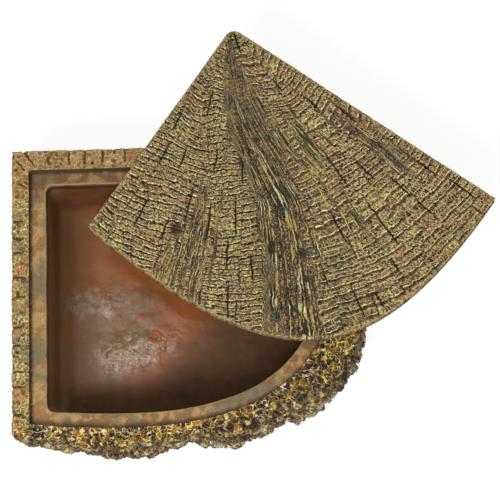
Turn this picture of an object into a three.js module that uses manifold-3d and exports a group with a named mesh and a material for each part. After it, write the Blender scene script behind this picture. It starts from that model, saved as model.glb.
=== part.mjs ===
// Corner reptile hide: a tub shaped like a quarter of a tree stump, and the loose lid that covers it.
// Millimetres, +Z up. The shared plan is drawn from the square corner of the lid seat:
// +X runs along the back wall, -Y along the side wall, and one long curve joins their ends.
import * as THREE from 'three';
import Module from 'manifold-3d';

const wasm = await Module();
wasm.setup();

// Plan of the lid seat
const seatLong = 222;
const seatShort = 176;
const frontHandle = 176;
const frontBulge = 20;
const endHandle = 145;
const endLean = 2;

// Heights and walls of the tub
const baseHeight = 80;
const seatDepth = 8;
const floorThickness = 8;
const sideWall = 12;
const backWall = 14;
const ledgeSide = 11;
const ledgeBack = 9;
const ledgeFront = 10.5;
const seatCorner = 2;

// Basin below the ledge
const basinCorner = 5;
const lipEase = 1;
const basinDraft = 2.5;
const basinFillet = 15;
const filletCornerShare = 0.7;

// Bark on the curved wall
const barkThickness = 14.7;
const barkReach = 30.8;
const plateWidth = 13;
const plateHeight = 26;
const plateLift = 2.2;
const furrowWidth = 6;
const furrowDepth = 3;
const furrowSway = 2.5;
const furrowSwayPitch = 38;
const chipDepth = 2;
const rimErosion = 1.5;
const erosionPitch = 19;
const erosionFinePitch = 8;

// Doorway through the bark, under the far end of the lid
const doorWidth = 60;
const doorHeight = 50;
const doorSill = 1.5;
const doorFromBack = 51;
const doorFlare = 4;
const doorSpringShare = 0.42;

// Lid
const lidThickness = 10;
const lidClearance = 1;
const lidApexCut = 9;
const lidCornerCut = 1.5;
const edgeEase = 0.8;
const reliefDepth = 2.4;
const wideRingPitch = 6.6;
const fineRingPitch = 4.6;
const ringSwell = 71;
const ringStepPitch = 90;
const ringSettle = 40;
const grooveDepth = 2.8;
const splinterPitch = 24;
const splinterWidth = 31;
const crackWidth = 2.6;
const crackDepth = 1.6;
const knotRadius = 7;
const knotDepth = 1;
const restGap = 0.3;

// How the lid lies on the rim: where its square corner is, and how far it is turned
const lidAcrossShare = 0.6446;
const lidBackShare = 0.554;
const lidTurnDegrees = -35.9;

// One overrun for every cut, and the steps of the curves
const overrun = 2;
const barkSteps = 150;
const curveSteps = 40;
const cornerSteps = 4;
const filletSteps = 4;
const sideSteps = 9;
const backSteps = 12;
const archSteps = 12;
const bisections = 40;
const settleSteps = 6;
const sectorCount = 14;
const edgeTurnShare = 0.004;
const fineTurnShare = 0.0115;

// Bark along the curve, from the side wall to the back wall: share of the curve,
// share of barkThickness at the rim, share of barkReach at the foot
const barkShares = [
  [-0.08, 0.62, 0.2],
  [0, 0.68, 0.23],
  [0.05, 0.78, 0.34],
  [0.1, 0.92, 0.5],
  [0.15, 0.88, 0.48],
  [0.2, 0.7, 0.3],
  [0.24, 0.56, 0.17],
  [0.27, 0.82, 0.42],
  [0.33, 1, 0.56],
  [0.4, 0.94, 0.52],
  [0.44, 0.96, 0.52],
  [0.48, 1.14, 0.76],
  [0.54, 1.3, 0.88],
  [0.6, 1.42, 0.96],
  [0.65, 1.46, 1],
  [0.72, 1.4, 0.92],
  [0.82, 1.2, 0.78],
  [0.92, 1.02, 0.64],
  [1, 0.9, 0.56],
  [1.1, 0.84, 0.52],
];

// Heights of the bark's rings, as shares of the tub's height
const barkLevelShares = [
  0, 0.055, 0.11, 0.165, 0.22, 0.275, 0.33, 0.385, 0.44, 0.495, 0.55, 0.605, 0.66, 0.715, 0.77, 0.825, 0.88, 0.94, 1,
];

// Lid's drying cracks: share of the quarter turn from the long side, and the shares of the
// seat's length where each one starts and ends
const crackShares = [
  [0.402, 0.018, 0.095],
  [0.783, 0.216, 0.302],
  [0.933, 0.315, 0.383],
  [0.917, 0.419, 0.5],
  [0.833, 0.414, 0.491],
  [0.689, 0.396, 0.482],
  [0.572, 0.423, 0.509],
  [0.759, 0.523, 0.662],
  [0.894, 0.604, 0.716],
  [0.811, 0.644, 0.721],
  [0.689, 0.572, 0.694],
  [0.604, 0.55, 0.671],
  [0.211, 0.216, 0.266],
  [0.12, 0.311, 0.396],
  [0.05, 0.419, 0.495],
  [0.231, 0.486, 0.626],
  [0.158, 0.572, 0.662],
  [0.217, 0.712, 0.874],
  [0.118, 0.685, 0.784],
  [0.113, 0.797, 0.865],
  [0.033, 0.725, 0.797],
  [0.024, 0.833, 0.932],
  [0.042, 0.946, 0.995],
  [0.319, 0.667, 0.788],
  [0.4, 0.815, 0.892],
  [0.356, 0.905, 1.014],
  [0.316, 0.955, 1.009],
  [0.629, 0.689, 0.779],
  [0.567, 0.734, 0.824],
  [0.626, 0.82, 0.928],
  [0.25, 0.892, 0.946],
];

// Lid's splintered stretches: shares of the quarter turn at their edges, and the shares of the
// seat's length where each one starts and ends
const splinterShares = [
  [0.36, 0.544, 0.1, 1.2],
  [0.659, 0.797, 0.6, 0.88],
  [0.038, 0.107, 0.46, 0.68],
];
const splinterTaperShare = 0.45;

// Where the lines that run outwards bend, as a share of the seat's length, how far they lean inside
// and outside it, as shares of the quarter turn, and how sharply they straighten
const grainBendShare = 0.6;
const grainLeanShares = [0.3, 0.05];
const grainLeanPower = 1.3;
const knotShares = [0.78, 0.68];

// How the flat walls' top edges are worn, and the bark's flare towards its foot
const wearMeanShare = 0.5;
const longWearShare = 0.34;
const fineWearShare = 0.16;
const flarePower = 1.3;
const rimLevelShare = 0.94;

// How uneven the cells of the bark and of the grain are
const scatterShares = [12.9898, 43.758];
const jitterShare = 0.5;

// Where a growth ring has its crest and its trough, how worn each of them is, where the rings
// get closer together, and how far they sway and step, in rings
const crestShare = 0.36;
const troughShare = 0.62;
const crestWearShare = 0.24;
const troughWearShare = 0.64;
const wearSwingShare = 0.16;
const closerShares = [0.47, 0.53];
const swayShares = [0.31, 0.24, 0.35];
const stepShare = 0.8;
const tiltShare = 0.5;
const splinterCrestShare = 0.16;
const crackBendShares = [0.15, 0.8];

// Stretches of the front curve, carried on at both ends, that hold its corners
const nearStartShares = [-0.3, 0.4];
const nearEndShares = [0.6, 1.3];

const seatFloor = baseHeight - seatDepth;
const quarterTurn = Math.PI / 2;
const point = (x, y) => new THREE.Vector2(x, y);
const mix = THREE.MathUtils.lerp;
const wave = (length, pitch, phase = 0) => Math.sin((2 * Math.PI * length) / pitch + phase);

// A scattered share from 0 to 1 for a number, the same each time
function scatter(number) {
  const spread = Math.sin(number * scatterShares[0]) * scatterShares[1];
  return spread - Math.floor(spread);
}

// Which cell of an uneven row a place is in, and how far it is from the cell's nearer border
const borderOf = (cell, seed) => cell + jitterShare * scatter(cell + seed);
function cellAt(position, seed) {
  const below = Math.floor(position);
  const cell = position < borderOf(below, seed) ? below - 1 : below;
  return [cell, Math.min(position - borderOf(cell, seed), borderOf(cell + 1, seed) - position)];
}

// Front curve of the seat, carried on along its end tangents
const handles = [
  point(0, -seatShort),
  point(frontHandle, -seatShort - frontBulge),
  point(seatLong - endLean, -endHandle),
  point(seatLong, 0),
];
const frontCurve = new THREE.CubicBezierCurve(...handles);
const curveLength = frontCurve.getLength();

function curvePoint(share) {
  const held = THREE.MathUtils.clamp(share, 0, 1);
  const at = frontCurve.getPoint(held);
  return at.addScaledVector(frontCurve.getTangent(held), (share - held) * curveLength);
}

function curveOffset(share, distance) {
  const along = frontCurve.getTangent(THREE.MathUtils.clamp(share, 0, 1));
  return curvePoint(share).addScaledVector(point(along.y, -along.x), distance);
}

// Share of the curve where a rising measure reaches its target
function shareWhere(measure, target, [low, high]) {
  let [from, to] = [low, high];
  for (let i = 0; i < bisections; i += 1) {
    const middle = (from + to) / 2;
    if (measure(middle) < target) from = middle;
    else to = middle;
  }
  return (from + to) / 2;
}

// A row of the bark table, read between its rows
function barkRow(share) {
  const last = barkShares.length - 1;
  const next = barkShares.findIndex((row) => row[0] >= share);
  const above = next < 1 ? (next < 0 ? last : 1) : next;
  const [a, b] = [barkShares[above - 1], barkShares[above]];
  const part = THREE.MathUtils.clamp((share - a[0]) / (b[0] - a[0]), 0, 1);
  const eased = part * part * (3 - 2 * part);
  return [mix(a[1], b[1], eased), mix(a[2], b[2], eased)];
}

// How far up the rim's worn edge a height is, from 0 below it to 1 at the top
const rimWear = (heightShare) => Math.max(0, (heightShare - rimLevelShare) / (1 - rimLevelShare));

// How far the bark stands out from the seat's curve at a share of the curve and of the height
function barkOffset(share, heightShare) {
  const [rimShare, footShare] = barkRow(share);
  const flare = (1 - heightShare) ** flarePower;
  const plain = mix(rimShare * barkThickness, footShare * barkReach, flare);
  const along = share * curveLength;
  const height = heightShare * baseHeight;
  const bent = along + furrowSway * wave(height, plateHeight, wave(along, furrowSwayPitch));
  const [column, aside] = cellAt(bent / plateWidth, 0);
  const [row, above] = cellAt(height / plateHeight + scatter(column), column);
  const border = Math.min(aside * plateWidth, above * plateHeight) / (furrowWidth / 2);
  const furrow = 1 - THREE.MathUtils.smoothstep(border, 0, 1);
  const level = scatter(column + row / 2);
  const carved = (furrowDepth * furrow + plateLift * level) * Math.min(1, plain / barkThickness);
  const chipped = chipDepth * rimWear(heightShare) * (1 - level / 2);
  return plain - carved - chipped;
}

// Worn top edges of the two flat walls
function wallErosion(along, heightShare) {
  const long = longWearShare * wave(along, erosionPitch);
  const fine = fineWearShare * wave(along, erosionFinePitch, 1);
  return rimErosion * rimWear(heightShare) * (wearMeanShare + long + fine);
}

// Outside of the tub at one height: side wall, bark, back wall
function tubRing(heightShare) {
  const outer = (share) => curveOffset(share, barkOffset(share, heightShare));
  const start = shareWhere((share) => outer(share).x, -sideWall, nearStartShares);
  const end = shareWhere((share) => outer(share).y, backWall, nearEndShares);
  const front = outer(start);
  const back = outer(end);
  const ring = [point(-sideWall, backWall)];
  for (let i = 1; i < sideSteps; i += 1) {
    const y = mix(backWall, front.y, i / sideSteps);
    ring.push(point(-sideWall + wallErosion(y, heightShare), y));
  }
  for (let i = 0; i <= barkSteps; i += 1) {
    ring.push(outer(mix(start, end, i / barkSteps)));
  }
  for (let i = 1; i < backSteps; i += 1) {
    const x = mix(back.x, -sideWall, i / backSteps);
    ring.push(point(x, backWall - wallErosion(x, heightShare)));
  }
  return ring;
}

// Rounds a corner between the points that lie each side of it
function softCorner(before, corner, after) {
  return new THREE.QuadraticBezierCurve(before, corner, after).getPoints(cornerSteps);
}

// The seat's plan, drawn in by its own distance at each wall, with its corners cut back
function planRing(side, back, front, apexCut, cornerCut) {
  const inner = (share) => curveOffset(share, -front);
  const frontCorner = inner(shareWhere((share) => inner(share).x, side, nearStartShares));
  const endCorner = inner(shareWhere((share) => inner(share).y, -back, nearEndShares));
  const from = shareWhere((share) => inner(share).x, side + cornerCut, nearStartShares);
  const to = shareWhere((share) => inner(share).y, -back - cornerCut, nearEndShares);
  const apex = point(side, -back);
  const ring = softCorner(point(side + apexCut, -back), apex, point(side, -back - apexCut));
  const frontStart = point(side, frontCorner.y + cornerCut);
  ring.push(...softCorner(frontStart, frontCorner, inner(from)));
  for (let i = 1; i < curveSteps; i += 1) {
    ring.push(inner(mix(from, to, i / curveSteps)));
  }
  ring.push(...softCorner(inner(to), endCorner, point(endCorner.x - cornerCut, -back)));
  return ring;
}

// A closed solid through rings that turn the same way, one above the other
function loft(rings, heights) {
  const count = rings[0].length;
  const positions = rings.flatMap((ring, level) => ring.flatMap((at) => [at.x, at.y, heights[level]]));
  const index = [];
  for (let level = 0; level + 1 < rings.length; level += 1) {
    for (let i = 0; i < count; i += 1) {
      const a = level * count + i;
      const b = level * count + ((i + 1) % count);
      index.push(a, b, b + count, a, b + count, a + count);
    }
  }
  const top = (rings.length - 1) * count;
  const capOf = (ring) => THREE.ShapeUtils.triangulateShape(ring, []);
  capOf(rings[0]).forEach(([a, b, c]) => index.push(a, c, b));
  capOf(rings.at(-1)).forEach(([a, b, c]) => index.push(top + a, top + b, top + c));
  return shapeFrom(positions, index);
}

function shapeFrom(positions, index) {
  const geometry = new THREE.BufferGeometry();
  geometry.setAttribute('position', new THREE.Float32BufferAttribute(positions, 3));
  geometry.setIndex(index);
  return geometry;
}

function solidOf(geometry) {
  const vertProperties = new Float32Array(geometry.getAttribute('position').array);
  const triVerts = new Uint32Array(geometry.getIndex().array);
  return new wasm.Manifold(new wasm.Mesh({ numProp: 3, vertProperties, triVerts }));
}

function geometryOf(solid) {
  const { vertProperties, triVerts } = solid.getMesh();
  const geometry = shapeFrom(Array.from(vertProperties), Array.from(triVerts));
  geometry.computeVertexNormals();
  return geometry;
}

// Tub
function tubBody() {
  const rings = barkLevelShares.map(tubRing);
  return solidOf(loft(rings, barkLevelShares.map((share) => share * baseHeight)));
}

function seatCut() {
  const ring = planRing(0, 0, 0, seatCorner, seatCorner);
  return solidOf(loft([ring, ring], [seatFloor, baseHeight + overrun]));
}

function basinCut() {
  const rings = [];
  const heights = [];
  const addRing = (inset, height) => {
    const corner = basinCorner + filletCornerShare * inset;
    rings.push(planRing(ledgeSide + inset, ledgeBack + inset, ledgeFront + inset, corner, corner));
    heights.push(height);
  };
  for (let i = filletSteps; i > 0; i -= 1) {
    const angle = (quarterTurn * i) / filletSteps;
    const inset = lipEase + basinDraft + basinFillet * (1 - Math.cos(angle));
    addRing(inset, floorThickness + basinFillet * (1 - Math.sin(angle)));
  }
  addRing(lipEase + basinDraft, floorThickness + basinFillet);
  addRing(lipEase, seatFloor - lipEase);
  addRing(0, seatFloor);
  addRing(0, seatFloor + overrun);
  return solidOf(loft(rings, heights));
}

// Arch of the doorway, in the plane of its wall: across, then up from the sill
function archRing(widen) {
  const half = doorWidth / 2 + widen;
  const spring = doorHeight * doorSpringShare;
  const ring = [];
  for (let i = 0; i <= archSteps; i += 1) {
    const angle = (Math.PI * i) / archSteps;
    ring.push(point(half * Math.cos(angle), spring + (doorHeight + widen - spring) * Math.sin(angle)));
  }
  ring.push(point(-half, 0), point(half, 0));
  return ring;
}

function doorCut() {
  const outside = seatLong + barkReach + overrun;
  const inside = seatLong - ledgeFront - basinDraft - basinFillet - overrun;
  const geometry = loft([archRing(0), archRing(0), archRing(doorFlare)], [inside, seatLong, outside]);
  const across = new THREE.Vector3(0, 1, 0);
  const up = new THREE.Vector3(0, 0, 1);
  const out = new THREE.Vector3(1, 0, 0);
  geometry.applyMatrix4(new THREE.Matrix4().makeBasis(across, up, out));
  geometry.translate(0, -doorFromBack, floorThickness + doorSill);
  return solidOf(geometry);
}

function makeTub() {
  return geometryOf(tubBody().subtract(seatCut()).subtract(basinCut()).subtract(doorCut()));
}

// Lid, drawn from its own square corner, where the growth rings start
const lidAt = (turn, radius) => point(radius * Math.cos(turn), -radius * Math.sin(turn));
const knotPlace = lidAt(knotShares[0] * quarterTurn, knotShares[1] * seatLong);

function lidSlab() {
  const cuts = [lidApexCut, lidCornerCut];
  const plain = planRing(lidClearance, lidClearance, lidClearance, ...cuts);
  const inset = lidClearance + edgeEase;
  const eased = planRing(inset, inset, inset, ...cuts);
  const geometry = loft([eased, plain, plain], [0, edgeEase, lidThickness + overrun]);
  geometry.translate(-lidClearance, lidClearance, 0);
  return solidOf(geometry);
}

// Whether a place lies in a splintered stretch, which starts narrow and widens outwards
function isSplintered(turnShare, radius) {
  return splinterShares.some(([low, high, from, to]) => {
    const [start, end] = [from * seatLong, to * seatLong];
    const taper = Math.min(1, splinterTaperShare + (radius - start) / seatLong);
    const width = Math.min(taper * (high - low), splinterWidth / (quarterTurn * radius));
    const aside = Math.abs(turnShare - (low + high) / 2);
    return aside < width / 2 && radius > start && radius < end;
  });
}

// How many rings the grain is moved at a place: it sways, and it steps from sector to sector
function ringShift(turnShare, radius) {
  const [sector] = cellAt(turnShare * sectorCount, 0);
  const [turnPitch, turnSway, reachSway] = swayShares;
  const sway = turnSway * wave(turnShare, turnPitch, (2 * radius) / ringSwell);
  const drift = reachSway * wave(radius, ringSwell, 5 * turnShare);
  const step = (scatter(sector + 0.37) - 0.5) * wave(radius, ringStepPitch, 2 * Math.PI * scatter(sector + 0.71));
  const tilt = (scatter(sector + 0.13) - 0.5) * (turnShare * sectorCount - sector - 0.75);
  return (sway + drift + stepShare * step + tiltShare * tilt) * Math.min(1, radius / ringSettle);
}

function ringPitch(turnShare) {
  return mix(wideRingPitch, fineRingPitch, THREE.MathUtils.smoothstep(turnShare, ...closerShares));
}

// Radius at which the ring count, from the square corner outwards, reaches a number
function ringRadius(turnShare, count) {
  let radius = count * ringPitch(turnShare);
  for (let i = 0; i < settleSteps; i += 1) {
    radius = (count - ringShift(turnShare, Math.max(0, radius))) * ringPitch(turnShare);
  }
  return radius;
}

// How far the lines that run outwards lean from straight ones, as a share of the quarter turn
function grainLean(turnShare, radius) {
  const out = radius / (grainBendShare * seatLong);
  const [inner, outer] = grainLeanShares;
  const lean = out < 1 ? inner * (1 - out) ** grainLeanPower : outer * (out - 1);
  return lean * Math.sin(Math.PI * turnShare);
}

// Height of the weathered end grain: stepped rings, with radial splinters breaking through them
function grainHeight(turnShare, radius, isCrest, isStrand) {
  const swell = wearSwingShare * wave(radius, ringSwell, 3 * turnShare);
  const ringed = reliefDepth * ((isCrest ? crestWearShare : troughWearShare) + swell);
  const ragged = wearSwingShare * wave(radius, splinterPitch, turnShare / fineTurnShare);
  const splintered = grooveDepth * (isStrand ? splinterCrestShare : troughWearShare + wearSwingShare + ragged);
  const worn = isSplintered(turnShare, radius) ? splintered : ringed;
  const fromKnot = lidAt(turnShare * quarterTurn, radius).distanceTo(knotPlace) / knotRadius;
  return lidThickness - worn - knotDepth * Math.max(0, 1 - fromKnot);
}

// Shares of the quarter turn where the grain is read: both sides of each sector's border, and each
// splinter with the gaps beside it
function turnShares() {
  const shares = [];
  for (let sector = -1; sector <= sectorCount; sector += 1) {
    const [low, high] = [borderOf(sector, 0) / sectorCount, borderOf(sector + 1, 0) / sectorCount];
    shares.push(low + edgeTurnShare / 2, high - edgeTurnShare / 2);
  }
  const isWhole = (share) => !splinterShares.some(([low, high]) => (
    share > low - edgeTurnShare && share < high + fineTurnShare));
  const splinters = splinterShares.flatMap(([low, high]) => {
    const count = Math.round((high - low) / fineTurnShare);
    return Array.from({ length: count + 1 }, (_, i) => [low + i * fineTurnShare, i % 2 === 1]);
  });
  return [...shares.filter(isWhole).map((share) => [share, false]), ...splinters].sort((a, b) => a[0] - b[0]);
}

function grainBlock() {
  const turns = turnShares();
  const rows = [];
  const outermost = Math.hypot(seatLong, seatShort);
  for (let ring = 0; (ring - 2) * fineRingPitch < outermost; ring += 1) {
    rows.push([ring + crestShare, true], [ring + troughShare, false]);
  }
  const surface = rows.flatMap(([count, isCrest]) => turns.map(([share, isStrand]) => {
    const radius = ringRadius(share, count);
    const at = lidAt((share + grainLean(share, radius)) * quarterTurn, radius);
    return new THREE.Vector3(at.x, at.y, grainHeight(share, radius, isCrest, isStrand));
  }));
  return solidOf(blockUnder(surface, rows.length, turns.length));
}

// Closes a grid of surface points down to a flat underside
function blockUnder(surface, rows, columns) {
  const positions = surface.flatMap((at) => [at.x, at.y, at.z]);
  const index = [];
  for (let row = 0; row + 1 < rows; row += 1) {
    for (let column = 0; column + 1 < columns; column += 1) {
      const a = row * columns + column;
      index.push(a, a + columns + 1, a + columns, a, a + 1, a + columns + 1);
    }
  }
  const rim = [];
  for (let row = 0; row < rows; row += 1) rim.push(row * columns);
  for (let column = 1; column < columns; column += 1) rim.push((rows - 1) * columns + column);
  for (let row = rows - 2; row >= 0; row -= 1) rim.push(row * columns + columns - 1);
  for (let column = columns - 2; column > 0; column -= 1) rim.push(column);
  const under = surface.length;
  rim.forEach((at) => positions.push(surface[at].x, surface[at].y, -overrun));
  const hub = under + rim.length;
  const heart = lidAt(quarterTurn / 2, seatShort / 2);
  positions.push(heart.x, heart.y, -overrun);
  rim.forEach((at, i) => {
    const next = (i + 1) % rim.length;
    index.push(at, under + next, under + i, at, rim[next], under + next);
    index.push(under + i, under + next, hub);
  });
  return shapeFrom(positions, index);
}

// A crack is a long trough, pointed at both ends
function crackCut([turnShare, from, to]) {
  const turn = turnShare * quarterTurn;
  const [start, end] = [lidAt(turn, from * seatLong), lidAt(turn, to * seatLong)];
  const [near, far] = crackBendShares.map((share) => start.clone().lerp(end, share));
  const side = point(Math.sin(turn), Math.cos(turn)).multiplyScalar(crackWidth / 2);
  const left = [near, far].map((at) => at.clone().add(side));
  const right = [near, far].map((at) => at.clone().sub(side));
  const mouth = [start, right[0], right[1], end, left[1], left[0]];
  const positions = mouth.flatMap((at) => [at.x, at.y, lidThickness]);
  const keel = lidThickness - reliefDepth - crackDepth;
  positions.push(near.x, near.y, keel, far.x, far.y, keel);
  const index = [0, 1, 2, 0, 2, 3, 0, 3, 4, 0, 4, 5];
  index.push(0, 6, 1, 1, 7, 2, 1, 6, 7, 2, 7, 3, 3, 7, 4, 4, 6, 5, 4, 7, 6, 5, 6, 0);
  return solidOf(shapeFrom(positions, index));
}

function makeLid() {
  let lid = lidSlab().intersect(grainBlock());
  crackShares.forEach((row) => {
    lid = lid.subtract(crackCut(row));
  });
  return geometryOf(lid);
}

// Painted cast resin
const barkPaint = new THREE.MeshStandardMaterial({ color: 0x7d6543, roughness: 0.82, metalness: 0 });
const grainPaint = new THREE.MeshStandardMaterial({ color: 0x897855, roughness: 0.84, metalness: 0 });

const base = new THREE.Mesh(makeTub(), barkPaint);
base.name = 'base';
const lid = new THREE.Mesh(makeLid(), grainPaint);
lid.name = 'lid';
lid.position.set(lidAcrossShare * seatLong, lidBackShare * seatShort, baseHeight + restGap);
lid.rotation.z = THREE.MathUtils.degToRad(lidTurnDegrees);

// The origin lies under the middle of the tub's footprint
base.geometry.computeBoundingBox();
const middle = base.geometry.boundingBox.getCenter(new THREE.Vector3());
const hide = new THREE.Group();
hide.add(base, lid);
hide.position.set(-middle.x, -middle.y, 0);

export default hide;
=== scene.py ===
"""Corner reptile hide: a tub like a quarter of a tree stump, and a loose lid of end grain on it.

The frame gives the solids' places. The pieces made here stand for them with their fine relief and
paint. Metres, +Z up. Plans are drawn from the lid seat's square corner: +X along the back wall, -Y
along the side wall.
"""

import dataclasses
import functools
import logging
import math
from dataclasses import dataclass, field
from enum import Enum
from typing import Callable, ClassVar

import bpy
import numpy as np
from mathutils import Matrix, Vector


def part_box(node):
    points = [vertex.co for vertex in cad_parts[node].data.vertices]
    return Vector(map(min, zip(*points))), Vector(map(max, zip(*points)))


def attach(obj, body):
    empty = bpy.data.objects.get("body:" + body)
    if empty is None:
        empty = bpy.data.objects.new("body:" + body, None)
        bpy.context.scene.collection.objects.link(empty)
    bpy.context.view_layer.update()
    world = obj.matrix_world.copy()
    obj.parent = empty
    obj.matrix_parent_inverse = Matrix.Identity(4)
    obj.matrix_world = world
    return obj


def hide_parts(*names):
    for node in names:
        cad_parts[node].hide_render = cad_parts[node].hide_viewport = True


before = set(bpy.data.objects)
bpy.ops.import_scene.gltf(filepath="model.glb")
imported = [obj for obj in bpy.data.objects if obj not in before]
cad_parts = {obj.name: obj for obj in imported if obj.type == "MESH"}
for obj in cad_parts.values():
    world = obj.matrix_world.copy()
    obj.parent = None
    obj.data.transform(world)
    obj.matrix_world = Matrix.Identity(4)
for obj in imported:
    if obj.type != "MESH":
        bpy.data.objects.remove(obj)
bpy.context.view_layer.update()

LOG = logging.getLogger("reptile_hide")
QUARTER = math.pi / 2
SOFT_STEP = {"interpolation_type": "SMOOTHSTEP"}
MIXED_COLOUR = 2
Colour = tuple[float, float, float, float]
Place = tuple[float, float, float]
Spot = tuple[Place, float]
Oval = tuple[Place, Place, float]


def pigment(red: int, green: int, blue: int) -> Colour:
    """The linear colour that the nodes take, from a paint's screen colour of 0 to 255 each."""
    shares = [channel / 255 for channel in (red, green, blue)]
    return (*(s / 12.92 if s <= 0.04045 else ((s + 0.055) / 1.055) ** 2.4 for s in shares), 1.0)


def operator(operation: str, flipped: bool = False) -> Callable[["Sock", "Number"], "Sock"]:
    """Makes the method for one sum of a Sock and another number.

    Args:
        operation: The Math node's operation.
        flipped: Whether the other number comes first.

    Returns:
        The method.
    """
    def method(this: "Sock", other: "Number") -> "Sock":
        """Adds the Math node."""
        return this.graph.math(operation, *((other, this) if flipped else (this, other)))

    return method


def grey(tone: float) -> Colour:
    """A linear grey, opaque."""
    return (tone, tone, tone, 1.0)


class Sock:
    """A node's output taken as a number, so that arithmetic on it adds Math nodes."""

    def __init__(self, graph: "Graph", socket: bpy.types.NodeSocket) -> None:
        """Keeps the graph that the socket belongs to."""
        self.graph = graph
        self.socket = socket

    __add__ = __radd__ = operator("ADD")
    __mul__ = __rmul__ = operator("MULTIPLY")
    __sub__, __rsub__ = operator("SUBTRACT"), operator("SUBTRACT", flipped=True)
    __truediv__, __rtruediv__ = operator("DIVIDE"), operator("DIVIDE", flipped=True)
    most, least = operator("MAXIMUM"), operator("MINIMUM")

    def __neg__(self) -> "Sock":
        """-self."""
        return self.graph.math("MULTIPLY", self, -1.0)

    def __abs__(self) -> "Sock":
        """abs(self)."""
        return self.graph.math("ABSOLUTE", self)

    def floor(self) -> "Sock":
        """The whole number below."""
        return self.graph.math("FLOOR", self)

    def fract(self) -> "Sock":
        """The part after the whole number."""
        return self.graph.math("FRACT", self)

    def smooth(self, start: float, end: float) -> "Sock":
        """A soft rise from 0 at start to 1 at end, which is above start or below it."""
        limits = {"Value": self, "From Min": start, "From Max": end}
        return self.graph.value("ShaderNodeMapRange", SOFT_STEP, limits, "Result")


Number = float | Sock
SEED_STEPS = (7.31, 3.17, 5.23)


class Span(Enum):
    """How far cells spread: along a line, over a plane or through space."""

    LINE = "1D"
    PLANE = "2D"
    SPACE = "3D"


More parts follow.
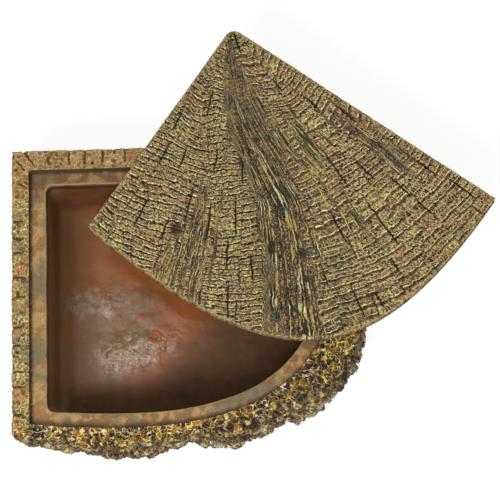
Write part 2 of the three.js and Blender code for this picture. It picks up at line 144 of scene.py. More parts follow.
class Graph:
    """Adds nodes to one tree: a material's, or a piece's Geometry Nodes."""

    def __init__(self, tree: bpy.types.NodeTree) -> None:
        """Keeps the tree."""
        self.tree = tree

    def add(
        self, kind: str, settings: dict | None = None, sockets: dict | None = None
    ) -> bpy.types.Node:
        """Adds any node.

        Args:
            kind: The node's type.
            settings: Properties of the node, set first.
            sockets: Values or links of its inputs, by index, identifier or name.

        Returns:
            The node.
        """
        node = self.tree.nodes.new(kind)
        for name, value in (settings or {}).items():
            setattr(node, name, value)
        for key, value in (sockets or {}).items():
            self.feed(node, key, value)
        return node

    def feed(self, node: bpy.types.Node, key: int | str, value: object) -> None:
        """Gives one input its value or its link.

        Args:
            node: The node.
            key: The input's index, identifier or name.
            value: A Sock to link, or a plain value.
        """
        named = (s for s in node.inputs if key in (s.identifier, s.name))
        socket = node.inputs[key] if isinstance(key, int) else next(named)
        if isinstance(value, Sock):
            self.tree.links.new(value.socket, socket)
        else:
            socket.default_value = value

    def out(self, node: bpy.types.Node, key: int | str = 0) -> Sock:
        """One output of a node."""
        return Sock(self, node.outputs[key])

    def value(
        self, kind: str, settings: dict | None, sockets: dict | None, key: int | str = 0
    ) -> Sock:
        """One output of a new node."""
        return self.out(self.add(kind, settings, sockets), key)

    def math(self, operation: str, *terms: Number) -> Sock:
        """A Math node."""
        return self.value("ShaderNodeMath", {"operation": operation}, dict(enumerate(terms)))

    def vector_math(self, operation: str, *terms: object) -> Sock:
        """A Vector Math node that gives a vector."""
        return self.value("ShaderNodeVectorMath", {"operation": operation}, dict(enumerate(terms)))

    def times(self, vector: Sock, amount: Number) -> Sock:
        """A vector made longer or shorter."""
        sockets = {"Vector": vector, "Scale": amount}
        return self.value("ShaderNodeVectorMath", {"operation": "SCALE"}, sockets)

    def length(self, vector: Sock) -> Sock:
        """A vector's length."""
        return self.value("ShaderNodeVectorMath", {"operation": "LENGTH"}, {0: vector}, "Value")

    def gap(self, at: Sock, place: object) -> Sock:
        """The distance from a place."""
        return self.length(self.vector_math("SUBTRACT", at, place))

    def vector(self, x: Number, y: Number, z: Number = 0.0) -> Sock:
        """A vector from three numbers."""
        return self.value("ShaderNodeCombineXYZ", None, {"X": x, "Y": y, "Z": z})

    def parts(self, vector: Sock) -> tuple[Sock, Sock, Sock]:
        """A vector's three numbers."""
        node = self.add("ShaderNodeSeparateXYZ", None, {0: vector})
        return self.out(node, 0), self.out(node, 1), self.out(node, 2)

    def _place(self, at: Sock, size: Number, seed: float) -> Sock:
        """A place in a pattern's own units, moved aside by its seed."""
        aside = tuple(seed * step for step in SEED_STEPS)
        return self.vector_math("ADD", self.times(at, 1 / size), aside)

    def _noise(
        self, at: Sock, size: Number, detail: float, seed: float, key: int | str
    ) -> Sock:
        """One output of a Noise Texture node, with features of about the given size."""
        sockets = {"Vector": self._place(at, size, seed), "Scale": 1.0, "Detail": detail}
        return self.value("ShaderNodeTexNoise", {"noise_dimensions": "3D"}, sockets, key)

    def noise(self, at: Sock, size: Number = 1.0, detail: float = 1.0, seed: float = 0.0) -> Sock:
        """Soft noise from 0 to 1, with features of about the given size."""
        return self._noise(at, size, detail, seed, 0)

    def warped(self, at: Sock, size: Number, amount: Number, seed: float = 0.0) -> Sock:
        """A place pushed about by noise, by half the amount at most."""
        push = self.vector_math("SUBTRACT", self._noise(at, size, 1.0, seed, "Color"), (0.5, 0.5, 0.5))
        return self.vector_math("ADD", at, self.times(push, amount))

    def cells(
        self, at: Sock, size: Number = 1.0, seed: float = 0.0, span: Span = Span.PLANE
    ) -> "Cells":
        """Irregular cells.

        Args:
            at: The place, or the number on a line.
            size: About how large the cells are.
            seed: Which of the patterns.
            span: How far they spread.

        Returns:
            What the cells say there.
        """
        if span is Span.LINE:
            place = {"W": at / size + seed * SEED_STEPS[0], "Scale": 1.0}
        else:
            place = {"Vector": self._place(at, size, seed), "Scale": 1.0}
        middle = {"voronoi_dimensions": span.value, "feature": "F1"}
        border = {"voronoi_dimensions": span.value, "feature": "DISTANCE_TO_EDGE"}
        near = self.add("ShaderNodeTexVoronoi", middle, place)
        edge = self.add("ShaderNodeTexVoronoi", border, place)
        tone, tilt, _ = self.parts(self.out(near, "Color"))
        offset = place["W"] - self.out(near, "W") if span is Span.LINE else None
        return Cells(self.out(near, "Distance"), self.out(edge, "Distance"), tone, tilt, offset)

    def blend(self, under: object, over: object, amount: Number) -> Sock:
        """One colour under another, which shows by an amount from 0 to 1."""
        sockets = {"Factor_Float": amount, "A_Color": under, "B_Color": over}
        return self.value("ShaderNodeMix", {"data_type": "RGBA"}, sockets, MIXED_COLOUR)

    def coats(self, ground: object, *coats: tuple[object, Number]) -> object:
        """A ground under coats of paint, each given as its colour and how much of it shows."""
        return functools.reduce(lambda under, coat: self.blend(under, *coat), coats, ground)


@dataclass(frozen=True)
class Cells:
    """What cells say at a place: how far it is from the cell's middle and border, and its tones.

    On a line, offset is the signed distance from the middle.
    """

    middle: Sock
    edge: Sock
    tone: Sock
    tilt: Sock
    offset: Sock | None


class Body(Enum):
    """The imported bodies."""

    BASE = "base"
    LID = "lid"


class Slot(Enum):
    """The record's material slots."""

    BARK = "painted_bark"
    END_GRAIN = "painted_end_grain"


# Uneven cells, which the solids' source draws in the same way

SCATTER_PITCH = 12.9898
SCATTER_SPREAD = 43.758
JITTER_SHARE = 0.5


def scatter(number: np.ndarray) -> np.ndarray:
    """A scattered share from 0 to 1 for a number, the same each time."""
    spread = np.sin(np.asarray(number, float) * SCATTER_PITCH) * SCATTER_SPREAD
    return spread - np.floor(spread)


def cell_at(position: np.ndarray, seed: np.ndarray) -> tuple[np.ndarray, np.ndarray]:
    """Finds cells in an uneven row.

    Args:
        position: Places along the row, in cells.
        seed: Which row each place is in.

    Returns:
        Each place's cell, and its distance from that cell's nearer border.
    """
    below = np.floor(position)
    cell = np.where(position < below + JITTER_SHARE * scatter(below + seed), below - 1, below)
    low = cell + JITTER_SHARE * scatter(cell + seed)
    high = cell + 1 + JITTER_SHARE * scatter(cell + 1 + seed)
    return cell, np.minimum(position - low, high - position)


@dataclass(frozen=True)
class SectorRow:
    """The grain's sectors round the lid's square corner, in nodes."""

    count: Number = 14.0

    def read(self, g: Graph, turn: Sock) -> tuple[Sock, Sock, Sock]:
        """Finds a place's sector.

        Args:
            g: The tree to add to.
            turn: The share of the quarter turn.

        Returns:
            The sector's number, and the distances from its nearer border and its middle.
        """
        position = turn * self.count
        below = position.floor()
        early = g.math("LESS_THAN", position, self._border(g, below))
        sector = below - early
        low, high = self._border(g, sector), self._border(g, sector + 1.0)
        return sector, (position - low).least(high - position), position - sector - 0.75

    def scattered(self, g: Graph, number: Sock) -> Sock:
        """A scattered share from 0 to 1 for a number."""
        return (g.math("SINE", number * SCATTER_PITCH) * SCATTER_SPREAD).fract()

    def _border(self, g: Graph, cell: Sock) -> Sock:
        """Where a cell starts."""
        return cell + self.scattered(g, cell) * JITTER_SHARE


# Patterns


@dataclass(frozen=True)
class Patch:
    """A splintered patch of the grain: its middle and half size, round the corner and out."""

    turn: float
    half_turn: float
    reach: float
    half_reach: float


@dataclass(frozen=True)
class GrainPattern:
    """Weathered end grain about the lid's square corner: rings, a net, splinters and a knot."""

    LEFT: ClassVar[Patch] = Patch(0.728, 0.064, 0.164, 0.034)
    CORNER: ClassVar[Patch] = Patch(0.072, 0.034, 0.126, 0.026)
    STREAK: ClassVar[Patch] = Patch(0.270, 0.034, 0.098, 0.028)
    STREAK_END: ClassVar[Patch] = Patch(0.272, 0.020, 0.164, 0.018)
    BAND_TURN: ClassVar[float] = 0.452
    BAND_HALF: ClassVar[float] = 0.0099
    KNOT_REACH: ClassVar[float] = 0.150
    KNOT_TURN: ClassVar[float] = math.radians(70)
    KNOT_DEPTH: ClassVar[float] = 0.0010
    RIPPLE_SIZE: ClassVar[float] = 0.0031
    WIGGLE_SIZE: ClassVar[float] = 0.0105
    ROUGH_SIZE: ClassVar[float] = 0.004
    JAG_SIZE: ClassVar[float] = 0.0050
    SPLINTER_PITCH: ClassVar[float] = 0.0018
    HAIR_PITCH: ClassVar[float] = 0.0009

    wide_pitch: Number = 0.0066
    fine_pitch: Number = 0.0046
    swell: Number = 0.071
    step_pitch: Number = 0.090
    settle: Number = 0.040
    bend: Number = 0.1332
    sectors: Number = 14.0
    strand_share: Number = 0.0115
    net_size: Number = 0.0017
    ring_depth: Number = 0.0011
    fibre_depth: Number = 0.0014
    crack_depth: Number = 0.0021
    edge_wear: Number = 0.0009

    def marks(self, g: Graph, at: Sock, crack: Sock, edge: Sock) -> dict[str, Sock]:
        """Works out where each mark of the grain is.

        Args:
            g: The tree to add to.
            at: The place in the lid's own plan.
            crack: How far into a drying crack the place is, from 0 to 1.
            edge: Distance from the lid's outline.

        Returns:
            The marks by name, each from 0 to 1.
        """
        x, y, _ = g.parts(at)
        reach = g.length(g.vector(x, y))
        turn = g.math("ARCTAN2", -y, x) / QUARTER
        arc = turn * reach * QUARTER
        slow = g.noise(g.vector(turn * 4.0, reach / 0.055), seed=1) - 0.5

        out = reach / self.bend
        lean = g.math("POWER", (1 - out).most(0.0), 1.3) * 0.3 + (out - 1).most(0.0) * 0.05
        share = turn - g.math("SINE", turn * math.pi) * lean
        share = turn - g.math("SINE", share * math.pi) * lean
        pitch = self.wide_pitch + (self.fine_pitch - self.wide_pitch) * share.smooth(0.47, 0.53)
        row = SectorRow(self.sectors)
        sector, beside, aside = row.read(g, share)
        flat = g.vector(arc, reach)
        ripple = g.noise(flat, self.RIPPLE_SIZE, detail=1.5, seed=4) - 0.5
        ring = reach / pitch + self._shift(g, row, sector, aside, share, reach)
        wiggle = g.noise(flat, self.WIGGLE_SIZE, seed=3) - 0.5
        right = share.smooth(0.5, 0.36)
        ring = ring + (ripple * 0.7 + wiggle * 0.75) * (1 - right * 0.45)
        phase = ring.fract()
        fade = g.noise(g.vector(turn * 13.0, reach / 0.009), detail=2.0, seed=5)
        ridge = abs(phase - 0.36).smooth(0.085 - right * 0.02, 0.025) * fade.smooth(0.38, 0.46)
        # The groove beside each ridge; its paint is partly dark wash and partly painted shadow below the
        # ridge.
        shadowed_groove = abs(phase - 0.54).smooth(0.15, 0.04) * fade.smooth(0.34, 0.44)
        twin = abs(phase - 0.86).smooth(0.09, 0.03) * fade.smooth(0.6, 0.5)
        split = g.noise(g.vector(turn * 9.0, reach / 0.016), seed=2)
        rough = g.noise(flat, self.ROUGH_SIZE, seed=11) - 0.5
        joint = (beside + rough * 0.05).smooth(0.035, 0.008) * split.smooth(0.5, 0.6)

        net = g.cells(g.warped(g.vector(arc / self.net_size, ring * 2.6), 2.0, 1.2, seed=6))
        line = net.edge.smooth(0.2, 0.05)
        pit = net.edge.smooth(0.1, 0.24) * net.tone.smooth(0.4, 0.6)

        away = share - self.BAND_TURN + reach.smooth(0.135, 0.09) * 0.055
        half = (self.BAND_HALF / reach.most(0.001)).least(0.13).least(reach * 1.6 + 0.02)
        ragged = g.noise(g.vector(turn * 60.0, reach / 0.030), detail=3.0, seed=7) - 0.5
        band = (abs(away) / half + ragged * 2.2).smooth(1.12, 0.72)
        band = band * (reach.smooth(0.05, 0.1) * 0.4 + 0.6)
        frayed = ragged + (g.noise(g.vector(turn * 90.0, reach / 0.12), seed=14) - 0.5) * 1.2
        left = self._patch(share, reach, self.LEFT, frayed)
        corner = self._patch(share, reach, self.CORNER, frayed)
        streak = self._patch(turn, reach, self.STREAK, frayed)
        streak = streak.most(self._patch(turn, reach, self.STREAK_END, frayed))
        torn = band.most(left * 0.8).most(corner * 0.8).most(streak * 0.7)

        strip = share - 0.36 + (slow * 0.6 + ripple * 0.35) * self.strand_share
        strand = 1 - abs((strip / (self.strand_share * 2)).fract() - 0.5) * 2
        bent = g.noise(g.vector(share * 20.0, reach / 0.035), detail=2.0, seed=9) - 0.5
        jag = g.noise(flat, self.JAG_SIZE, seed=16) - 0.5
        sideways = share * QUARTER * 0.145 + slow * 0.004 + bent * 0.0035 + jag * 0.0018
        splinter = g.cells(sideways, self.SPLINTER_PITCH, seed=12, span=Span.LINE)
        hair = g.cells(sideways, self.HAIR_PITCH, seed=15, span=Span.LINE)
        coarse = g.noise(g.vector(sideways / 0.0042, reach / 0.045), detail=1.5, seed=10)
        shown = g.noise(g.vector(sideways / 0.0020, reach / 0.012), detail=2.0, seed=13)
        gap = splinter.edge.smooth(0.16, 0.06) * shown.smooth(0.66, 0.56)
        trough = (coarse + strand * 0.03).smooth(0.45, 0.4).most(gap)
        trough = trough.most(hair.tone.smooth(0.72, 0.8) * 0.6) * torn
        lit = abs(splinter.offset - 0.1).smooth(0.17, 0.07) * splinter.tone.smooth(0.3, 0.45)
        thread = lit.most(hair.tone.smooth(0.24, 0.14) * 0.6) * shown.smooth(0.45, 0.52)
        stray = abs(away).smooth(0.17, 0.08) * reach.smooth(0.05, 0.08)
        crest = thread * torn.most(stray * shown.smooth(0.52, 0.58) * 0.8)

        knot_x, knot_y = math.cos(self.KNOT_TURN), -math.sin(self.KNOT_TURN)
        knot_at = (self.KNOT_REACH * knot_x, self.KNOT_REACH * knot_y, 0.0)
        from_knot = g.gap(g.vector(x, y), knot_at)
        whole = 1 - torn
        return {
            "ridge": ridge * whole,
            "shadowed_groove": shadowed_groove * whole,
            "twin": twin * whole,
            "joint": joint * whole,
            "line": line * whole,
            "pit": pit * whole,
            "torn": torn,
            "trough": trough,
            "crest": crest,
            "thread": thread * streak,
            "crack": crack.smooth(0.3, 0.75),
            "strand": strand * torn,
            "swell": self._wave(g, reach / self.swell + share * 3 / math.tau),
            "knot": (from_knot + ripple * 0.006).smooth(0.0062, 0.0025),
            "edge": edge.smooth(0.0035, 0.0),
            "margin": edge.smooth(0.035, 0.006),
            "right": right,
            "side": edge.smooth(-0.0002, -0.0012),
            "beside": abs(away).smooth(0.2, 0.05),
        }

    def _shift(
        self, g: Graph, row: SectorRow, sector: Sock, aside: Sock, turn: Sock, reach: Sock
    ) -> Sock:
        """Moves the rings: they sway, and they step from sector to sector.

        Args:
            g: The tree to add to.
            row: The sectors.
            sector: The place's sector.
            aside: Its distance from the sector's middle.
            turn: The share of the quarter turn.
            reach: The distance from the square corner.

        Returns:
            How many rings the grain is moved by.
        """
        sway = self._wave(g, turn / 0.31 + reach * 2 / self.swell / math.tau) * 0.24
        drift = self._wave(g, reach / self.swell + turn * 5 / math.tau) * 0.35
        step = self._wave(g, reach / self.step_pitch + row.scattered(g, sector + 0.71))
        step = step * (row.scattered(g, sector + 0.37) - 0.5) * 0.8
        tilt = (row.scattered(g, sector + 0.13) - 0.5) * aside * 0.5
        return (sway + drift + step + tilt) * (reach / self.settle).least(1.0)

    def _wave(self, g: Graph, turns: Sock) -> Sock:
        """A sine wave, from its count of full turns."""
        return g.math("SINE", turns * math.tau)

    def _patch(self, turn: Sock, reach: Sock, patch: Patch, ragged: Sock) -> Sock:
        """1 in a splintered patch with a ragged border, and 0 outside it."""
        across, out = abs(turn - patch.turn) / patch.half_turn, abs(reach - patch.reach) / patch.half_reach
        return (across.most(out) + ragged * 2.6).smooth(1.15, 0.5)

    def height(self, m: dict[str, Sock]) -> Sock:
        """How far the surface stands above the lid's plain top, which it never passes.

        Args:
            m: The marks.

        Returns:
            The height, never above 0.
        """
        rings = m["ridge"] * 0.75 + m["twin"] * 0.4 - m["shadowed_groove"] * 0.7 - m["pit"] * 0.4
        rings = rings + m["line"] * 0.3 - m["joint"] * 0.6 - m["swell"] * 0.35
        flat = (1 - m["torn"]) * (rings - 1.0) * self.ring_depth
        fibres = m["crest"] * 0.45 - m["trough"] * 0.8 + m["strand"] * 0.5 - m["torn"]
        dents = m["crack"] * self.crack_depth + m["knot"] * self.KNOT_DEPTH
        dents = dents + m["edge"] * self.edge_wear
        return (flat + fibres * self.fibre_depth - dents).least(0.0)


@dataclass(frozen=True)
class BarkPattern:
    """The skin of the cork bark: worm-like ridges, pits between them, and lumps."""

    HOLES: ClassVar[tuple[Place, Place]] = ((0.0354, -0.0912, 0.070), (0.0662, -0.0704, 0.070))
    HOLE_RADIUS: ClassVar[float] = 0.0075
    HOLE_FLOOR: ClassVar[float] = 0.0035
    lump_size: Number = 0.0085
    worm_size: Number = 0.0054
    thread_size: Number = 0.0031
    pit_size: Number = 0.0046
    depth: Number = 0.0036

    def marks(self, g: Graph, sheet: Sock, cast: Sock, cleft: Sock) -> dict[str, Sock]:
        """Works out where each mark of the bark is.

        Args:
            g: The tree to add to.
            sheet: The place on the unrolled bark: along it, up it, and how much of it is rim.
            cast: The place before any relief.
            cleft: How deep in a furrow between plates the place is, from 0 to 1.

        Returns:
            The marks by name, each from 0 to 1.
        """
        along, up, rim = g.parts(sheet)
        line = g.noise(g.warped(cast, 0.0060, 0.0080, seed=3), self.worm_size, detail=1.5, seed=4)
        thread = g.noise(g.warped(cast, 0.0034, 0.0040, seed=5), self.thread_size, seed=6)
        worm = abs(line - 0.5).smooth(0.05, 0.018)
        worm = worm.most(abs(thread - 0.5).smooth(0.035, 0.012) * 0.75)
        pit = g.noise(g.warped(cast, 0.0044, 0.0040, seed=7), self.pit_size, seed=8)
        lump = g.noise(g.warped(cast, 0.010, 0.008, seed=9), self.lump_size, detail=2.0, seed=10)
        first, second = (self._hole(g, cast, at) for at in self.HOLES)
        hole = first.most(second)
        return {
            "worm": worm * (1 - hole),
            "pit": (pit.smooth(0.52, 0.58) * (1 - worm)).most(hole),
            "lump": lump.smooth(0.4, 0.58),
            "low": lump.smooth(0.44, 0.36).most(cleft * 0.8),
            "rim": rim,
            "foot": up.smooth(0.05, 0.0),
            "stain": g.noise(cast, 0.022, seed=11),
            "clump": g.noise(g.vector(along, up * 0.35), 0.0085, detail=2.0, seed=12),
        }

    def _hole(self, g: Graph, cast: Sock, at: Place) -> Sock:
        """1 in a deep hole, which is twice as tall as it is wide, and 0 outside it."""
        away = g.vector_math("MULTIPLY", g.vector_math("SUBTRACT", cast, at), (1.0, 1.0, 0.5))
        return g.length(away).smooth(self.HOLE_RADIUS, self.HOLE_FLOOR)

    def height(self, m: dict[str, Sock]) -> Sock:
        """How far the surface stands out from the bark's plain face, which it never passes."""
        sunk = (1 - m["lump"]) * 0.5 + m["pit"] * 0.4 - m["worm"] * 0.2 + 0.2
        return -sunk.most(0.0) * self.depth


@dataclass(frozen=True)
class WallTopPattern:
    """Weathered tops of the two flat walls: blocks between cuts, fine ridges and small holes."""

    block_length: Number = 0.0105
    ridge_size: Number = 0.0033
    hole_size: Number = 0.0085
    depth: Number = 0.0016
    BACK_FROM: ClassVar[tuple[float, float]] = (0.084, 0.092)

    def marks(self, g: Graph, sheet: Sock, cast: Sock) -> dict[str, Sock]:
        """Works out where each mark is.

        Args:
            g: The tree to add to.
            sheet: The place on the walls: along them, across their tops, and how much of it is top.
            cast: The place before any relief.

        Returns:
            The marks by name, each from 0 to 1.
        """
        along, across, top = g.parts(sheet)
        lean = g.noise(cast, 0.006, seed=1) - 0.5
        block = g.cells(along + lean * 0.0022, self.block_length, seed=2, span=Span.LINE)
        cut = block.edge.smooth(0.1, 0.03) * g.noise(cast, 0.009, seed=3).smooth(0.36, 0.46)
        cut = cut * across.smooth(0.001, 0.006)
        warped = g.warped(cast, 0.0032, 0.0034, seed=4)
        ridges = g.cells(warped, self.ridge_size, seed=5, span=Span.SPACE)
        ridge = ridges.edge.smooth(0.13, 0.03)
        warped = g.warped(cast, 0.006, 0.003, seed=6)
        hole = g.cells(warped, self.hole_size, seed=7, span=Span.SPACE)
        dot = hole.middle.smooth(0.22, 0.1) * hole.tone.smooth(0.68, 0.75)
        return {
            "cut": cut,
            "ridge": ridge,
            "dot": dot,
            "tone": block.tone,
            "slope": (block.tilt - 0.5) * block.offset,
            "pit": ridges.edge.smooth(0.1, 0.25) * ridges.tone.smooth(0.45, 0.75),
            "top": top,
            "across": across,
            "stain": g.noise(cast, 0.016, seed=9),
            "back": g.parts(cast)[1].smooth(*self.BACK_FROM),
        }

    def height(self, m: dict[str, Sock]) -> Sock:
        """How far the surface stands above the walls' plain tops, which it never passes."""
        sunk = m["cut"] * 0.55 + m["dot"] * 0.8 + m["pit"] * 0.35 - m["ridge"] * 0.22
        return -(sunk + m["tone"] * 0.4 + m["slope"] * 0.6 + 0.1).most(0.0) * self.depth


@dataclass(frozen=True)
class CastPattern:
    """The softly uneven skin of the basin."""

    MIDDLE: ClassVar[Spot] = ((-0.074, -0.008, 0.008), 0.052)
    RUST: ClassVar[Spot] = ((-0.097, -0.013, 0.012), 0.011)
    WARM: ClassVar[Spot] = ((-0.080, 0.046, 0.010), 0.042)
    WET_LOW: ClassVar[Oval] = ((-0.048, -0.030, 0.008), (0.040, 0.017, 0.1), 0.25)
    WET_HIGH: ClassVar[Oval] = ((-0.078, 0.008, 0.008), (0.026, 0.016, 0.1), 0.0)
    BACK_FROM: ClassVar[tuple[float, float]] = (0.066, 0.076)
    CURVED_FROM: ClassVar[tuple[float, float]] = (-0.106, -0.094)
    # Where the side wall's inside starts to be painted lighter, as painted light.
    PAINTED_LIGHT_FROM: ClassVar[tuple[float, float]] = (-0.092, -0.100)
    swell_size: Number = 0.034
    ripple_size: Number = 0.0105
    depth: Number = 0.0011

    def marks(self, g: Graph, sheet: Sock, cast: Sock) -> dict[str, Sock]:
        """Works out the swells and the ripples.

        Args:
            g: The tree to add to.
            sheet: How much of the place is ledge, how deep it lies, and how much painted shade it has.
            cast: The place before any relief.

        Returns:
            The marks by name, each from 0 to 1.
        """
        ledge, _, near = g.parts(sheet)
        x, y, _ = g.parts(cast)
        back = y.smooth(*self.BACK_FROM)
        wet = self._wet(g, cast)
        scar = g.noise(g.warped(cast, 0.02, 0.012, seed=3), 0.009, seed=4)
        return {
            "swell": g.noise(cast, self.swell_size, seed=1),
            "ripple": g.noise(cast, self.ripple_size, seed=2),
            "scar": abs(scar - 0.5).smooth(0.03, 0.004),
            "ledge": ledge,
            # Painted shade near the walls, beside the curved wall and along the ledge's outer edge.
            "near": near,
            "grit": g.noise(cast, 0.0016, detail=2.0, seed=5),
            "stain": g.noise(cast, 0.028, detail=2.0, seed=6),
            "blot": g.noise(cast, 0.0075, detail=2.0, seed=7),
            "speck": g.noise(cast, 0.0022, seed=10),
            # painted highlights on the glossiest floor
            "painted_highlight": self._painted_highlight(g, cast, wet),
            "wet": wet,
            "lump": g.noise(g.warped(cast, 0.006, 0.003, seed=12), 0.0046, seed=13),
            "middle": self._spot(g, cast, *self.MIDDLE),
            "rust": self._spot(g, cast, *self.RUST),
            "warm": self._spot(g, cast, *self.WARM),
            "back": back,
            "curved": x.smooth(*self.CURVED_FROM) * (1 - back),
            # painted light on the side wall's inside, which faces away from the lamps
            "side": x.smooth(*self.PAINTED_LIGHT_FROM),
        }

    def _spot(self, g: Graph, cast: Sock, at: Place, half: float) -> Sock:
        """1 at the middle of a ragged spot, and 0 further off than about half its width."""
        ragged = g.noise(cast, 0.012, detail=3.0, seed=11) - 0.5
        return (g.gap(cast, at) / half + ragged * 1.3).smooth(1.0, 0.6)

    def _painted_highlight(self, g: Graph, cast: Sock, wet: Sock) -> Sock:
        """Painted highlights: pale broken patches where the floor is glossiest, standing for its
        reflections.
        """
        torn = g.noise(g.warped(cast, 0.008, 0.006, seed=8), 0.008, detail=3.0, seed=9)
        return (torn + wet * 0.24).smooth(0.56, 0.8) * wet.smooth(0.1, 0.4)

    def _wet(self, g: Graph, cast: Sock) -> Sock:
        """Where the floor's paint is glossiest."""
        low, high = self._oval(g, cast, *self.WET_LOW), self._oval(g, cast, *self.WET_HIGH)
        return low.most(high * 0.7)

    def _oval(self, g: Graph, cast: Sock, at: Place, halves: Place, turn: float) -> Sock:
        """Draws a soft oval.

        Args:
            g: The tree to add to.
            cast: The place before any relief.
            at: The oval's middle.
            halves: Half its size along itself, across itself and up.
            turn: How far it is turned, seen from above.

        Returns:
            1 at its middle and 0 past its edge.
        """
        x, y, z = g.parts(g.vector_math("SUBTRACT", cast, at))
        cosine, sine = math.cos(turn), math.sin(turn)
        along, across = x * cosine + y * sine, y * cosine - x * sine
        shares = g.vector(along / halves[0], across / halves[1], z / halves[2])
        return g.length(shares).smooth(1.3, 0.2)

    def height(self, m: dict[str, Sock]) -> Sock:
        """How far the skin stands out from the plain basin."""
        return ((m["swell"] - 0.5) * 1.3 + (m["ripple"] - 0.5) * 0.5) * self.depth


@dataclass(frozen=True)
class RevealPattern:
    """The rough cut wood inside the doorway."""

    lump_size: Number = 0.009
    depth: Number = 0.0030

    def marks(self, g: Graph, sheet: Sock, cast: Sock) -> dict[str, Sock]:
        """Works out the lumps of the reveal.

        Args:
            g: The tree to add to.
            sheet: Not used by this pattern.
            cast: The place before any relief.

        Returns:
            The marks by name, each from 0 to 1.
        """
        warped = g.warped(cast, 0.008, 0.006, seed=1)
        lump = g.cells(warped, self.lump_size, seed=2, span=Span.SPACE)
        fine = g.noise(cast, 0.0035, detail=2.0, seed=3)
        return {"edge": lump.edge.smooth(0.2, 0.02), "tone": lump.tone, "fine": fine}

    def height(self, m: dict[str, Sock]) -> Sock:
        """How far the reveal stands out from the plain cut."""
        return ((m["tone"] - 0.5) * 0.5 + (m["fine"] - 0.5) * 0.5 - m["edge"] * 0.4) * self.depth


# Relief

Pattern = GrainPattern | BarkPattern | WallTopPattern | CastPattern | RevealPattern
PLAIN_NUMBERS = ("crack", "edge", "cleft")


@dataclass(frozen=True)
class Relief:
    """Geometry Nodes that push a piece's plain skin about by its pattern, and set its finish."""

    name: str
    pattern: Pattern
    needs: tuple[str, ...]

    def tree(self, material: bpy.types.Material) -> bpy.types.GeometryNodeTree:
        """Builds the tree.

        Args:
            material: The finish that the tree sets.

        Returns:
            The tree, with one named input for each size of the pattern.
        """
        tree = bpy.data.node_groups.new(self.name, "GeometryNodeTree")
        tree.interface.new_socket("Geometry", in_out="INPUT", socket_type="NodeSocketGeometry")
        tree.interface.new_socket("Geometry", in_out="OUTPUT", socket_type="NodeSocketGeometry")
        sizes = dataclasses.asdict(self.pattern)
        for size in sizes:
            tree.interface.new_socket(size, in_out="INPUT", socket_type="NodeSocketFloat")
        g = Graph(tree)
        given = g.add("NodeGroupInput")
        live = dataclasses.replace(self.pattern, **{size: g.out(given, size) for size in sizes})
        height = live.height(live.marks(g, *[self._read(g, need) for need in self.needs]))
        offset = g.times(self._read(g, "push"), height)
        pushed = {"Geometry": g.out(given), "Offset": offset}
        moved = g.value("GeometryNodeSetPosition", None, pushed)
        stored = {"Geometry": moved, "Name": "relief", "Value": height}
        place = {"data_type": "FLOAT", "domain": "POINT"}
        kept = g.value("GeometryNodeStoreNamedAttribute", place, stored)
        real = g.value("GeometryNodeRealizeInstances", None, {"Geometry": kept})
        done = g.value("GeometryNodeSetMaterial", None, {"Geometry": real, "Material": material})
        g.add("NodeGroupOutput", None, {0: done})
        return tree

    def _read(self, g: Graph, name: str) -> Sock:
        """An attribute of the plain skin."""
        kind = {"data_type": "FLOAT" if name in PLAIN_NUMBERS else "FLOAT_VECTOR"}
        return g.value("GeometryNodeInputNamedAttribute", kind, {"Name": name})

    def press(self, piece: bpy.types.Object, material: bpy.types.Material) -> None:
        """Runs the tree on a piece and leaves a plain mesh.

        Args:
            piece: The piece.
            material: The finish that the tree sets.
        """
        tree = self.tree(material)
        modifier = piece.modifiers.new(self.name, "NODES")
        modifier.node_group = tree
        sizes = dataclasses.asdict(self.pattern)
        for item in tree.interface.items_tree:
            if item.in_out == "INPUT" and item.name in sizes:
                modifier[item.identifier] = float(sizes[item.name])
        flatten(piece)


def flatten(piece: bpy.types.Object) -> None:
    """Turns a piece with its modifiers into a plain mesh.

    Args:
        piece: The piece.
    """
    graph = bpy.context.evaluated_depsgraph_get()
    graph.update()
    seen = piece.evaluated_get(graph)
    made = bpy.data.meshes.new_from_object(seen, preserve_all_data_layers=True, depsgraph=graph)
    piece.modifiers.clear()
    piece.data = made
    made.name = piece.name


def skin(
    name: str, points: np.ndarray, faces: list, marks: dict[str, np.ndarray]
) -> bpy.types.Object:
    """Makes a mesh object with attributes.

    Args:
        name: The piece's name.
        points: Its points, one row each.
        faces: Its faces, as lists of point numbers.
        marks: Attributes by name, numbers or vectors, one row for each point.

    Returns:
        The object, linked to the scene.
    """
    mesh = bpy.data.meshes.new(name)
    mesh.from_pydata(points.tolist(), [], faces)
    for label, values in marks.items():
        kind, key = ("FLOAT", "value") if values.ndim == 1 else ("FLOAT_VECTOR", "vector")
        layer = mesh.attributes.new(label, kind, "POINT")
        layer.data.foreach_set(key, values.astype(np.float32).ravel())
    mesh.shade_smooth()
    mesh.update()
    piece = bpy.data.objects.new(name, mesh)
    bpy.context.scene.collection.objects.link(piece)
    return piece


def normals(points: np.ndarray, faces: list) -> np.ndarray:
    """The directions out of a plain mesh at its points.

    Args:
        points: Its points, one row each.
        faces: Its faces, as lists of point numbers.

    Returns:
        One direction for each point.
    """
    plain = bpy.data.meshes.new("plain")
    plain.from_pydata(points.tolist(), [], faces)
    out = np.zeros(points.size, np.float32)
    plain.vertices.foreach_get("normal", out)
    bpy.data.meshes.remove(plain)
    return out.reshape(-1, 3).astype(float)


def end_caps(rows: int, columns: int) -> list:
    """Faces that close a tube of points at its first and its last column."""
    first = np.arange(rows) * columns
    return [first.tolist(), (first + columns - 1)[::-1].tolist()]


